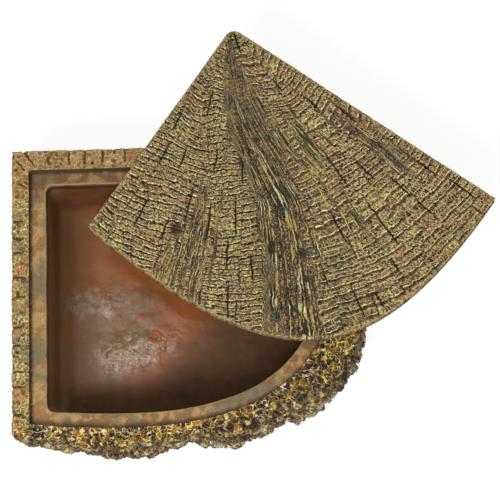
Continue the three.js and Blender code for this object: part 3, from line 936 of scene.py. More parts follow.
def lattice(
    rows: int, columns: int, around_rows: bool = False, around_columns: bool = False
) -> list:
    """Faces of a grid of points, row by row.

    Args:
        rows: Rows of points.
        columns: Points in each row.
        around_rows: Whether the last row joins the first.
        around_columns: Whether the last column joins the first.

    Returns:
        Four-sided faces that face up where rows go along +Y and columns along +X.
    """
    row = np.arange(rows if around_rows else rows - 1)[:, None]
    column = np.arange(columns if around_columns else columns - 1)[None, :]
    here, above = row * columns, ((row + 1) % rows) * columns
    beside = (column + 1) % columns
    corners = [here + column, here + beside, above + beside, above + column]
    return np.stack([c.ravel() for c in corners], axis=1).tolist()


def eased(share: np.ndarray) -> np.ndarray:
    """Soft step of shares from 0 to 1."""
    held = np.clip(share, 0, 1)
    return held * held * (3 - 2 * held)


def ease(share: float) -> float:
    """Soft step of one share from 0 to 1."""
    return float(eased(np.array(share)))


def mixed(start: np.ndarray, end: np.ndarray, share: np.ndarray) -> np.ndarray:
    """Points between two, by a share."""
    return start + (end - start) * share


def nearest(points: np.ndarray, line: np.ndarray) -> np.ndarray:
    """Distances of points from a line of points.

    Args:
        points: The points.
        line: The line, one row for each of its points.

    Returns:
        Each point's distance from the nearest point of the line, or 1 if that is less.
    """
    gap = np.full(len(points), 1.0)
    for at in line:
        gap = np.minimum(gap, np.hypot(points[:, 0] - at[0], points[:, 1] - at[1]))
    return gap


# Plan


@dataclass(frozen=True)
class SeatPlan:
    """Plan of the lid seat, which every piece is drawn from."""

    long: float = 0.222
    short: float = 0.176
    front_handle: float = 0.176
    front_bulge: float = 0.020
    end_handle: float = 0.145
    end_lean: float = 0.002
    side_wall: float = 0.012
    back_wall: float = 0.014
    NEAR: ClassVar[tuple[float, float]] = (-0.3, 0.4)
    FAR: ClassVar[tuple[float, float]] = (0.6, 1.3)

    @property
    def origin(self) -> np.ndarray:
        """The seat's square corner in the row frame."""
        low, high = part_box("base")
        return np.array([low.x + self.side_wall, high.y - self.back_wall])

    @property
    def handles(self) -> np.ndarray:
        """Handles of the front curve.

        Returns:
            Four points.
        """
        start = [self.front_handle, -self.short - self.front_bulge]
        end = [self.long - self.end_lean, -self.end_handle]
        return np.array([[0.0, -self.short], start, end, [self.long, 0.0]])

    def _raw(self, share: np.ndarray) -> np.ndarray:
        """Points on the front curve.

        Args:
            share: Shares of the curve.

        Returns:
            The points.
        """
        a, b, c, d = self.handles
        t = np.asarray(share, float)[..., None]
        return (1 - t) ** 3 * a + 3 * (1 - t) ** 2 * t * b + 3 * (1 - t) * t * t * c + t ** 3 * d

    @property
    def curve_length(self) -> float:
        """Length of the front curve."""
        steps = np.diff(self._raw(np.linspace(0, 1, 201)), axis=0)
        return float(np.linalg.norm(steps, axis=1).sum())

    def tangent(self, share: np.ndarray) -> np.ndarray:
        """Direction of the front curve, held beyond its ends.

        Args:
            share: Shares of the curve.

        Returns:
            The directions.
        """
        a, b, c, d = self.handles
        t = np.clip(np.asarray(share, float), 0, 1)[..., None]
        along = (1 - t) ** 2 * (b - a) + 2 * (1 - t) * t * (c - b) + t * t * (d - c)
        return along / np.linalg.norm(along, axis=-1, keepdims=True)

    def outward(self, share: np.ndarray) -> np.ndarray:
        """Direction out of the front curve."""
        along = self.tangent(share)
        return np.stack([along[..., 1], -along[..., 0]], axis=-1)

    def offset(self, share: np.ndarray, distance: np.ndarray) -> np.ndarray:
        """Points beside the front curve, which goes straight on beyond its ends.

        Args:
            share: Shares of the curve.
            distance: How far out of it the points are.

        Returns:
            The points.
        """
        share = np.asarray(share, float)
        held = np.clip(share, 0, 1)
        at = self._raw(held) + self.tangent(held) * ((share - held) * self.curve_length)[..., None]
        return at + self.outward(held) * np.asarray(distance, float)[..., None]

    def share_where(
        self, distance: Callable[[np.ndarray], np.ndarray], axis: int, target: float
    ) -> float:
        """Finds where a line beside the curve reaches a wall's line.

        Args:
            distance: How far out of the curve the line is, by the share of the curve.
            axis: 0 to reach a place along the back wall, 1 along the side wall.
            target: That place.

        Returns:
            The share of the curve.
        """
        low, high = self.FAR if axis else self.NEAR
        for _ in range(40):
            middle = np.array((low + high) / 2)
            if self.offset(middle, distance(middle))[axis] < target:
                low = float(middle)
            else:
                high = float(middle)
        return (low + high) / 2

    def ring(
        self, side: float, back: float, front: float, apex_cut: float, corner_cut: float
    ) -> np.ndarray:
        """The seat's plan drawn in by its own distance at each wall, with soft corners.

        Args:
            side: Distance from the side wall.
            back: Distance from the back wall.
            front: Distance from the front curve.
            apex_cut: How far the square corner is cut back.
            corner_cut: How far the two front corners are cut back.

        Returns:
            Points all round, with the same count on each stretch whatever the distances.
        """
        inside = np.array(-front)
        meets = [(0, side), (1, -back), (0, side + corner_cut), (1, -back - corner_cut)]
        shares = [self.share_where(lambda _: inside, axis, target) for axis, target in meets]
        start, end = (self.offset(np.array(share), inside) for share in shares[:2])
        first, last = shares[2:]
        apex = np.array([side, -back])
        down = np.array([side, start[1] + corner_cut])
        across = np.array([end[0] - corner_cut, -back])
        curve = self.offset(np.linspace(first, last, CURVE_STEPS), np.full(CURVE_STEPS, -front))
        stretches = [
            soft_corner(apex + [apex_cut, 0], apex, apex - [0, apex_cut]),
            straight(apex - [0, apex_cut], down, SIDE_STEPS),
            soft_corner(down, start, curve[0]),
            curve,
            soft_corner(curve[-1], end, across),
            straight(across, apex + [apex_cut, 0], BACK_STEPS),
        ]
        return np.concatenate([stretch[:-1] for stretch in stretches])


CORNER_STEPS = 9
SIDE_STEPS = 100
BACK_STEPS = 130
CURVE_STEPS = 190


def soft_corner(before: np.ndarray, corner: np.ndarray, after: np.ndarray) -> np.ndarray:
    """Rounds a corner between the points that lie each side of it."""
    t = np.linspace(0, 1, CORNER_STEPS)[:, None]
    return (1 - t) ** 2 * before + 2 * (1 - t) * t * corner + t * t * after


def straight(start: np.ndarray, end: np.ndarray, count: int) -> np.ndarray:
    """Evenly spaced points on a line."""
    return mixed(start, end, np.linspace(0, 1, count)[:, None])


# Finishes


class Paint:
    """A material in the making: its graph, its shader and what it reads."""

    def __init__(self, name: str, sheen: float = 0.35) -> None:
        """Starts the material with its plain shader.

        Args:
            name: The finish's name.
            sheen: How strongly it mirrors, where 0.5 is plain plastic.
        """
        self.material = bpy.data.materials.new(name)
        self.material.use_nodes = True
        self.g = Graph(self.material.node_tree)
        self.shader = self.material.node_tree.nodes["Principled BSDF"]
        self.shader.inputs["Specular IOR Level"].default_value = sheen

    def read(self, name: str, number: bool = False) -> Sock:
        """An attribute of the painted piece, read as a vector or as a plain number."""
        settings = {"attribute_type": "GEOMETRY", "attribute_name": name}
        return self.g.value("ShaderNodeAttribute", settings, None, "Fac" if number else "Vector")

    def place(self) -> Sock:
        """Object coordinates."""
        return self.g.value("ShaderNodeTexCoord", None, None, "Object")

    def finished(
        self, colour: Sock, roughness: Number, height: Sock, distance: float, strength: float
    ) -> bpy.types.Material:
        """Feeds the shader.

        Args:
            colour: The colour.
            roughness: The roughness.
            height: The height of the fine bumps, about 0 to 1.
            distance: The height that 1 stands for.
            strength: How much of the bumps shows.

        Returns:
            The material.
        """
        sockets = {"Height": height, "Distance": distance, "Strength": strength}
        bumps = self.g.value("ShaderNodeBump", None, sockets, "Normal")
        inputs = {"Base Color": colour, "Roughness": roughness, "Normal": bumps}
        for name, value in inputs.items():
            self.g.feed(self.shader, name, value)
        return self.material


@dataclass(frozen=True)
class EndGrainFinish:
    """Brown resin under a dark wash, dry-brushed pale yellow on its ridges, with painted shadow below each
    ring's ridge.
    """

    pattern: GrainPattern
    wood: Colour = pigment(120, 91, 63)
    russet: Colour = pigment(158, 102, 74)
    smoke: Colour = pigment(84, 82, 70)
    straw: Colour = pigment(255, 242, 178)
    sand: Colour = pigment(214, 196, 132)
    moss: Colour = pigment(206, 196, 100)
    ochre: Colour = pigment(216, 192, 104)
    ripe: Colour = pigment(232, 220, 110)
    bare: Colour = pigment(196, 168, 118)
    plum: Colour = pigment(78, 54, 50)
    wash: Colour = pigment(48, 35, 20)
    soot: Colour = pigment(18, 14, 10)

    def material(self) -> bpy.types.Material:
        """Builds the material.

        Returns:
            The material.
        """
        paint = Paint("painted_end_grain")
        g = paint.g
        at = paint.read("grain_at")
        edge = paint.read("edge", True)
        m = self.pattern.marks(g, at, paint.read("crack", True), edge)
        patch = g.noise(at, 0.020, detail=2.0, seed=21)
        cloud = g.noise(at, 0.009, detail=2.0, seed=24)
        broken = g.noise(at, 0.0016, seed=22)
        speck = g.noise(at, 0.0010, seed=23)
        brush = broken.smooth(0.36, 0.54)
        red = (patch + m["margin"] * 0.06).smooth(0.48, 0.56)
        deep = g.coats(
            self.smoke,
            (self.plum, patch.smooth(0.5, 0.58) * 0.8),
            (self.wood, cloud.smooth(0.44, 0.54) * 0.8),
            (self.wash, speck.smooth(0.48, 0.56) * 0.85),
            (self.sand, speck.smooth(0.45, 0.38) * 0.45),
            (self.soot, cloud.smooth(0.48, 0.4) * 0.55),
        )
        yellow = g.blend(self.straw, self.ochre, cloud.smooth(0.42, 0.54))
        x, y, _ = g.parts(at)
        down = g.vector(x, y, edge * 0.5)
        flank = g.coats(
            self.bare,
            (self.russet, g.noise(down, 0.006, detail=2.0, seed=25).smooth(0.46, 0.66) * 0.8),
            (self.wash, g.noise(down, 0.0014, seed=26).smooth(0.5, 0.64) * 0.7),
        )
        colour = g.coats(
            self.wood,
            (self.russet, red * 0.9),
            (self.smoke, (m["beside"] * 0.7 + 0.25) * cloud.smooth(0.54, 0.44)),
            (self.wash, speck.smooth(0.5, 0.6) * 0.8),
            (self.sand, speck.smooth(0.46, 0.38) * 0.5),
            (self.moss, cloud.smooth(0.57, 0.65) * brush * 0.7 * (1 - red * 0.6)),
            (self.sand, m["line"] * brush * (0.85 - (m["beside"] * 0.35).most(red * 0.45))),
            (self.wash, m["pit"] * (0.9 - m["right"] * 0.25)),
            (self.wash, m["beside"] * broken.smooth(0.44, 0.56) * 0.45),
            (self.soot, m["pit"] * cloud.smooth(0.56, 0.44) * 0.8),
            # Painted shadow below each ring's ridge, over the dark wash in its groove.
            (self.soot, m["shadowed_groove"] * (0.95 - m["right"] * 0.25)),
            (self.straw, m["ridge"] * (brush * 0.7 + 0.3)),
            (self.sand, m["twin"] * brush * 0.8),
            (self.soot, m["joint"] * 0.85),
            (deep, m["torn"] * 0.92),
            (self.soot, m["trough"] * 0.9),
            (yellow, m["crest"] * (brush * 0.4 + 0.6)),
            (self.ripe, m["thread"] * 0.95),
            (self.soot, m["knot"] * 0.85),
            (self.soot, m["crack"] * 0.95),
            (self.sand, m["edge"] * broken.smooth(0.4, 0.55) * (1 - m["crack"]) * 0.7),
            (flank, m["side"] * 0.9),
        )
        rough = 0.86 - m["ridge"] * 0.12 - m["crest"] * 0.15
        fine = m["line"] * 0.5 + m["ridge"] - m["shadowed_groove"] - m["pit"] * 0.6
        fine = fine + m["crest"] - m["trough"] + speck * 0.5
        return paint.finished(colour, rough, fine, distance=0.0005, strength=0.8)


@dataclass(frozen=True)
class BarkFinish:
    """Brown cork bark, black in its pits, brushed golden near the rim and cream on its ridges."""

    pattern: BarkPattern
    cork: Colour = pigment(128, 90, 44)
    gold: Colour = pigment(172, 118, 42)
    umber: Colour = pigment(72, 49, 25)
    cream: Colour = pigment(252, 244, 208)
    straw: Colour = pigment(244, 208, 112)
    ash: Colour = pigment(132, 116, 86)
    pitch: Colour = pigment(24, 18, 10)

    def material(self) -> bpy.types.Material:
        """Builds the material.

        Returns:
            The material.
        """
        paint = Paint("painted_bark")
        g = paint.g
        cast = paint.read("cast_at")
        m = self.pattern.marks(g, paint.read("sheet_at"), cast, paint.read("cleft", True))
        broken = g.noise(cast, 0.0013, seed=21)
        tint = g.noise(cast, 0.0060, detail=2.0, seed=22)
        brush = broken.smooth(0.34, 0.52)
        face = 1 - m["rim"]
        faded = (face * m["stain"].smooth(0.46, 0.58)).most(m["foot"] * 0.6)
        light = g.blend(self.straw, self.cream, m["foot"] * 0.5 + tint.smooth(0.54, 0.44) * 0.5)
        shown = (brush * 0.75 + 0.2) * (1 - m["low"] * 0.6)
        shown = shown * (1 - face * m["clump"].smooth(0.56, 0.46) * 0.7)
        colour = g.coats(
            self.umber,
            (self.cork, tint.smooth(0.42, 0.54)),
            (self.gold, tint.smooth(0.5, 0.6) * (m["rim"] * 0.5 + 0.4)),
            (self.ash, faded * 0.6),
            (self.umber, broken.smooth(0.5, 0.62) * 0.6),
            (self.pitch, m["low"] * (0.85 - m["rim"] * 0.25)),
            (self.pitch, m["pit"] * 0.9),
            (self.pitch, face * m["clump"].smooth(0.5, 0.42) * 0.75),
            (light, m["worm"] * shown),
            (self.cream, face * m["clump"].smooth(0.58, 0.66) * brush * 0.6),
        )
        fine = m["worm"] - m["pit"] + broken * 0.6
        rough = 0.86 - m["worm"] * 0.15
        return paint.finished(colour, rough, fine, distance=0.0007, strength=0.9)


@dataclass(frozen=True)
class WallTopFinish:
    """Golden-tan blocks with dark cuts on the walls' tops, and plain brown down their outsides."""

    pattern: WallTopPattern
    tan: Colour = pigment(156, 126, 74)
    orange: Colour = pigment(164, 104, 60)
    moss: Colour = pigment(116, 108, 74)
    rose: Colour = pigment(160, 116, 80)
    pale: Colour = pigment(240, 222, 144)
    wash: Colour = pigment(58, 42, 22)
    plain: Colour = pigment(112, 88, 58)
    # painted shade on the seat's inside face, the step under the lid
    seat: Colour = pigment(86, 77, 54)

    def material(self) -> bpy.types.Material:
        """Builds the material.

        Returns:
            The material.
        """
        paint = Paint("painted_wall_top")
        g = paint.g
        cast = paint.read("cast_at")
        m = self.pattern.marks(g, paint.read("sheet_at"), cast)
        broken = g.noise(cast, 0.0013, seed=21)
        patch = g.noise(cast, 0.0075, detail=2.0, seed=22)
        shown = broken.smooth(0.42, 0.54) * (patch.smooth(0.6, 0.46) * 0.7 + 0.3)
        top = g.coats(
            self.tan,
            (self.orange, m["tone"].smooth(0.5, 0.7) * 0.45),
            (self.moss, m["tone"].smooth(0.34, 0.2) * 0.4),
            (self.orange, patch.smooth(0.5, 0.6) * 0.7),
            (self.moss, m["stain"].smooth(0.5, 0.58) * (0.8 - m["back"] * 0.5)),
            (self.rose, m["back"] * (0.35 + patch.smooth(0.6, 0.4) * 0.35)),
            (self.wash, broken.smooth(0.52, 0.64) * 0.5),
            (self.pale, broken.smooth(0.42, 0.34) * 0.3),
            (self.wash, m["pit"] * 0.55),
            (self.pale, m["ridge"] * shown * (0.85 - m["back"] * 0.35)),
            (self.wash, m["cut"] * 0.92),
            (self.wash, m["dot"] * 0.95),
        )
        # The seat's inside face is painted dark green-brown as the step's painted shade, darker in
        # patches.
        shaded_seat_face = g.blend(self.seat, self.wash, m["stain"].smooth(0.4, 0.6) * 0.5)
        colour = g.coats(
            self.plain,
            (self.wash, broken.smooth(0.44, 0.64) * 0.4),
            (self.tan, (m["stain"] * 0.5 + patch * 0.5).smooth(0.42, 0.66) * 0.3),
            (top, m["top"].smooth(0.3, 0.7)),
            (shaded_seat_face, m["across"].smooth(0.0002, -0.0008)),
        )
        fine = m["ridge"] - m["cut"] - m["dot"] + broken * 0.5
        rough = 0.8 - m["ridge"] * 0.12
        return paint.finished(colour, rough, fine, distance=0.0005, strength=0.7)


@dataclass(frozen=True)
class BasinFinish:
    """Satin red-brown paint, with painted shade where the floor meets the walls, painted highlights on the
    floor and ochre on the ledge.
    """

    pattern: CastPattern
    clay: Colour = pigment(140, 84, 42)
    rust: Colour = pigment(148, 82, 40)
    sienna: Colour = pigment(138, 84, 40)
    cocoa: Colour = pigment(106, 74, 46)
    # painted shade, the lighter of its two coats
    umber: Colour = pigment(104, 72, 44)
    # painted light on the side wall's inside
    painted_light_fawn: Colour = pigment(152, 118, 76)
    # painted shade, the darkest coat
    painted_shade: Colour = pigment(34, 24, 16)
    ochre: Colour = pigment(172, 138, 84)
    amber: Colour = pigment(150, 108, 64)
    moss: Colour = pigment(108, 102, 76)
    olive: Colour = pigment(112, 82, 48)
    # painted highlights on the glossy floor
    painted_highlight: Colour = pigment(208, 188, 162)
    # painted highlight on the ledge's rounded lip
    lip: Colour = pigment(186, 158, 108)

    def material(self) -> bpy.types.Material:
        """Builds the material.

        Returns:
            The material.
        """
        paint = Paint("satin_basin", sheen=0.32)
        g = paint.g
        cast = paint.read("cast_at")
        m = self.pattern.marks(g, paint.read("sheet_at"), cast)
        worn = (m["middle"] * 0.9 + m["stain"].smooth(0.5, 0.62) * 0.5).least(1.0)
        inside = g.coats(
            self.clay,
            (self.rust, m["swell"].smooth(0.42, 0.6)),
            (self.olive, worn * 0.85),
            (self.rust, m["rust"] * 0.9),
            (self.sienna, m["warm"] * 0.8),
            (self.cocoa, m["scar"] * m["blot"].smooth(0.45, 0.6) * 0.45),
            # Painted highlights on the glossiest floor, with dark flecks of painted shade among them.
            (self.painted_highlight, m["painted_highlight"] * (m["speck"] * 0.4 + 0.1)),
            (self.painted_shade, m["speck"].smooth(0.36, 0.28) * m["painted_highlight"] * 0.7),
            # Painted shade near the walls, beside the curved wall and under the lid: umber, then near
            # black.
            (self.umber, m["near"]),
            (self.painted_shade, m["near"] * (m["blot"] * 0.4 + 0.22)),
            # Painted light on the side wall's inside, which faces away from the lamps.
            (self.painted_light_fawn, m["side"] * 0.65),
            # Painted shade at the top of the walls, just under the ledge's lip.
            (self.painted_shade, m["ledge"].smooth(0.04, 0.2) * 0.7),
        )
        # A painted highlight along the ledge's rounded lip.
        lip = (m["ledge"] * (1 - m["ledge"]) * 3.4) * m["blot"].smooth(0.36, 0.5)
        shelf = g.coats(
            self.ochre,
            (self.amber, m["blot"].smooth(0.45, 0.56)),
            (self.moss, m["stain"].smooth(0.46, 0.58) * 0.85),
            (self.olive, m["curved"] * m["blot"].smooth(0.4, 0.56) * 0.5),
            (self.cocoa, m["grit"].smooth(0.5, 0.62) * 0.45),
            (self.cocoa, m["back"] * (m["blot"].smooth(0.36, 0.58) * 0.55 + 0.42)),
            # Painted shade along the ledge's outer edge, against the step.
            (self.painted_shade, m["near"] * m["grit"].smooth(0.3, 0.5)),
            # painted highlight on the lip
            (self.lip, lip),
        )
        colour = g.blend(inside, shelf, m["ledge"].smooth(0.3, 0.6))
        rough = m["ledge"] * 0.25 + m["blot"] * 0.22 + m["grit"] * 0.12 + m["near"] * 0.5
        rough = rough + m["warm"] * 0.14 - m["wet"] * 0.17 + 0.18
        fine = m["ripple"] + m["blot"] * 0.6 + m["grit"] * 0.12 + m["speck"] * 0.15
        fine = fine + m["wet"] * (m["lump"] * 1.7 + m["speck"] * 0.4)
        return paint.finished(colour, rough, fine, distance=0.0009, strength=0.7)


@dataclass(frozen=True)
class RevealFinish:
    """Dark brown cut wood inside the doorway."""

    pattern: RevealPattern
    brown: Colour = pigment(104, 78, 50)
    dark: Colour = pigment(48, 35, 20)
    rubbed: Colour = pigment(158, 130, 86)

    def material(self) -> bpy.types.Material:
        """Builds the material.

        Returns:
            The material.
        """
        paint = Paint("doorway_paint")
        g = paint.g
        at = paint.place()
        m = self.pattern.marks(g, at, at)
        rubbed = m["fine"].smooth(0.52, 0.66) * 0.7
        colour = g.coats(self.brown, (self.rubbed, rubbed), (self.dark, m["edge"] * 0.8))
        return paint.finished(colour, 0.75, m["fine"] - m["edge"], distance=0.0006, strength=0.6)


# Pieces


@dataclass(frozen=True)
class Crack:
    """A drying crack: its turn from the lid's long side in degrees, its start and its end."""

    turn: float
    start: float
    end: float


# Turns in degrees, starts and ends in millimetres from the lid's square corner
CRACKS = [Crack(turn, start / 1000, end / 1000) for turn, start, end in (
    (36.2, 4, 21), (70.5, 48, 67), (84, 70, 85), (82.5, 93, 111), (75, 92, 109), (62, 88, 107),
    (51.5, 94, 113), (68.3, 116, 147), (80.5, 134, 159), (73, 143, 160), (62, 127, 154),
    (54.4, 122, 149), (19, 48, 59), (10.8, 69, 88), (4.5, 93, 110), (20.8, 108, 139),
    (14.2, 127, 147), (19.5, 158, 194), (10.6, 152, 174), (10.2, 177, 192), (3, 161, 177),
    (2.2, 185, 207), (3.8, 210, 221), (28.7, 148, 175), (36, 181, 198), (32, 201, 225),
    (28.4, 212, 224), (56.6, 153, 173), (51, 163, 183), (56.3, 182, 206), (22.5, 198, 210),
)]


@dataclass
class LidSlab:
    """The loose lid: a slab with the seat's plan and end grain on its top."""

    plan: SeatPlan
    clearance: float = 0.001
    apex_cut: float = 0.009
    corner_cut: float = 0.0015
    thickness: float = 0.010
    turn: float = math.radians(-35.9)
    across_share: float = 0.6446
    back_share: float = 0.554
    top_steps: tuple[int, int] = (300, 268)
    side_rows: int = 9
    crack_width: float = 0.0013
    crack_steps: int = 26
    crack_margin: float = 0.004
    crack_bend: float = 0.0004
    crack_jitter: float = 0.00018
    crack_seed: int = 5
    side_share: float = 0.55
    rim_share: float = 0.4
    pattern: GrainPattern = field(default_factory=GrainPattern)

    def build(self) -> bpy.types.Object:
        """Makes and dresses the lid.

        Returns:
            The lid as one piece.
        """
        flat = self._top_plan()
        rows, columns = flat.shape[:2]
        plan = flat.reshape(-1, 2)
        rim = self._rim(rows, columns)
        top = np.c_[plan, np.full(len(plan), self.thickness)]
        levels = np.linspace(1, 0, self.side_rows + 1)[1:]
        sides = [np.c_[plan[rim], np.full(len(rim), self.thickness * level)] for level in levels]
        local = np.concatenate([top, *sides])

        push = np.zeros_like(local)
        push[: len(top), 2] = 1
        outward = self._outward(plan[rim])
        last = len(local) - len(rim)
        push[len(top) : last, :2] = np.tile(outward, (self.side_rows - 1, 1)) * self.side_share
        push[rim, :2] += outward * self.rim_share
        edge = nearest(local[:, :2], plan[rim][::2])
        edge[len(top) :] = local[len(top) :, 2] - self.thickness
        marks = {
            "grain_at": np.c_[local[:, :2], np.zeros(len(local))],
            "crack": self._crack_marks(local[:, :2]),
            "edge": edge,
            "push": self._turned(push),
        }
        faces = lattice(rows, columns) + self._skirt(rim, len(top))
        faces.append(list(range(last, len(local)))[::-1])
        piece = skin("lid_end_grain", self._placed(local), faces, marks)
        relief = Relief("lid_relief", self.pattern, ("grain_at", "crack", "edge"))
        relief.press(piece, EndGrainFinish(self.pattern).material())
        return piece

    def _top_plan(self) -> np.ndarray:
        """Lays a grid over the lid's plan.

        Returns:
            Its points, row by row from the long side to the curve.
        """
        gap = self.clearance
        ring = self.plan.ring(gap, gap, gap, self.apex_cut, self.corner_cut) + np.array([-gap, gap])
        corner = CORNER_STEPS - 1
        apex = corner // 2
        front = corner + SIDE_STEPS - 1 + apex
        end = front + corner + CURVE_STEPS - 1
        middle = (front + end) // 2
        columns, rows = self.top_steps
        loop = np.concatenate([ring, ring])
        short_side = respaced(loop[apex : front + 1], rows)
        long_side = respaced(loop[end : len(ring) + apex + 1][::-1], columns)
        curve_front = respaced(loop[front : middle + 1], columns)
        curve_end = respaced(loop[middle : end + 1][::-1], rows)
        u = np.linspace(0, 1, columns)[None, :, None]
        v = np.linspace(0, 1, rows)[:, None, None]
        a, c = long_side[None], curve_front[None]
        d, b = short_side[:, None], curve_end[:, None]
        corners = (1 - u) * (1 - v) * a[:, :1] + u * (1 - v) * a[:, -1:]
        corners = corners + (1 - u) * v * c[:, :1] + u * v * c[:, -1:]
        patch = (1 - v) * a + v * c + (1 - u) * d + u * b - corners
        return patch[::-1]

    def _rim(self, rows: int, columns: int) -> np.ndarray:
        """Point numbers round the grid's edge, against the clock seen from above."""
        grid = np.arange(rows * columns).reshape(rows, columns)
        return np.concatenate([grid[0, :-1], grid[:-1, -1], grid[-1, :0:-1], grid[:0:-1, 0]])

    def _skirt(self, rim: np.ndarray, start: int) -> list:
        """Faces of the lid's sides.

        Args:
            rim: Point numbers round the top.
            start: The first point below it.

        Returns:
            The faces.
        """
        rings = [rim] + [start + i * len(rim) + np.arange(len(rim)) for i in range(self.side_rows)]
        faces = []
        for upper, lower in zip(rings, rings[1:]):
            corners = [lower, np.roll(lower, -1), np.roll(upper, -1), upper]
            faces += np.stack(corners, axis=1).tolist()
        return faces

    def _outward(self, ring: np.ndarray) -> np.ndarray:
        """Directions out of a ring.

        Args:
            ring: Its points, against the clock.

        Returns:
            One direction for each point.
        """
        along = np.roll(ring, -1, axis=0) - np.roll(ring, 1, axis=0)
        out = np.stack([along[:, 1], -along[:, 0]], axis=1)
        return out / np.linalg.norm(out, axis=1, keepdims=True)

    def _crack_marks(self, points: np.ndarray) -> np.ndarray:
        """How far into a crack each point is.

        Args:
            points: Places in the lid's own plan.

        Returns:
            1 on a crack's line and 0 or less outside the crack.
        """
        marks = np.zeros(len(points))
        draws = np.random.default_rng(self.crack_seed)
        reach = np.hypot(points[:, 0], points[:, 1])
        t = np.linspace(0, 1, self.crack_steps)
        width = self.crack_width * (0.3 + 0.7 * np.sin(math.pi * np.clip(t, 0.03, 0.97)) ** 0.5)
        for crack in CRACKS:
            phase, swing = draws.uniform(0, 2 * math.pi, 2), draws.uniform(0.5, 1.0, 2)
            radius = crack.start + (crack.end - crack.start) * t
            stray = self.crack_bend * swing[0] * np.sin(4 * t + phase[0])
            stray = stray + self.crack_jitter * swing[1] * np.sin(15 * t + phase[1])
            angle = math.radians(crack.turn) + stray / radius
            line = np.stack([radius * np.cos(angle), -radius * np.sin(angle)], axis=1)
            margin = self.crack_margin
            near = np.flatnonzero((reach > crack.start - margin) & (reach < crack.end + margin))
            for a, b, half in zip(line, line[1:], width):
                along = (points[near] - a) @ (b - a) / ((b - a) @ (b - a))
                foot = a + np.clip(along, 0, 1)[:, None] * (b - a)
                gap = np.linalg.norm(points[near] - foot, axis=1)
                marks[near] = np.maximum(marks[near], 1 - gap / half)
        return marks

    def _turned(self, vectors: np.ndarray) -> np.ndarray:
        """Directions or places of the lid's own plan, turned into the row frame."""
        (c, s), (x, y, z) = (math.cos(self.turn), math.sin(self.turn)), vectors.T
        return np.stack([c * x - s * y, s * x + c * y, z], axis=1)

    def _placed(self, local: np.ndarray) -> np.ndarray:
        """Points of the lid's own plan, where they lie on the rim."""
        at = self.plan.origin + [self.across_share * self.plan.long, self.back_share * self.plan.short]
        return self._turned(local) + np.array([at[0], at[1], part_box("lid")[0].z])


def respaced(line: np.ndarray, count: int) -> np.ndarray:
    """Points at even distances along a line of points."""
    steps = np.r_[0, np.cumsum(np.linalg.norm(np.diff(line, axis=0), axis=1))]
    return np.stack([np.interp(np.linspace(0, steps[-1], count), steps, axis) for axis in line.T], axis=1)


# The bark along the curve, from the side wall to the back wall: share of the curve,
# share of the thickness at the rim, share of the reach at the foot
BARK_SHARES = np.array([
    [-0.08, 0.62, 0.2], [0, 0.68, 0.23], [0.05, 0.78, 0.34], [0.1, 0.92, 0.5], [0.15, 0.88, 0.48],
    [0.2, 0.7, 0.3], [0.24, 0.56, 0.17], [0.27, 0.82, 0.42], [0.33, 1, 0.56], [0.4, 0.94, 0.52],
    [0.44, 0.96, 0.52], [0.48, 1.14, 0.76], [0.54, 1.3, 0.88], [0.6, 1.42, 0.96], [0.65, 1.46, 1],
    [0.72, 1.4, 0.92], [0.82, 1.2, 0.78], [0.92, 1.02, 0.64], [1, 0.9, 0.56], [1.1, 0.84, 0.52],
])


@dataclass(frozen=True)
class BarkRow:
    """One row of points of the bark's skin: where it lies, and how its relief moves it."""

    level: float
    upness: float
    carved_at: float = 0.0
    inset: float = 0.0
    width: float = 1.0
    behind: float = 0.0
    grow: float = 0.0
    rise: float = 0.0
    rim: float = 0.0


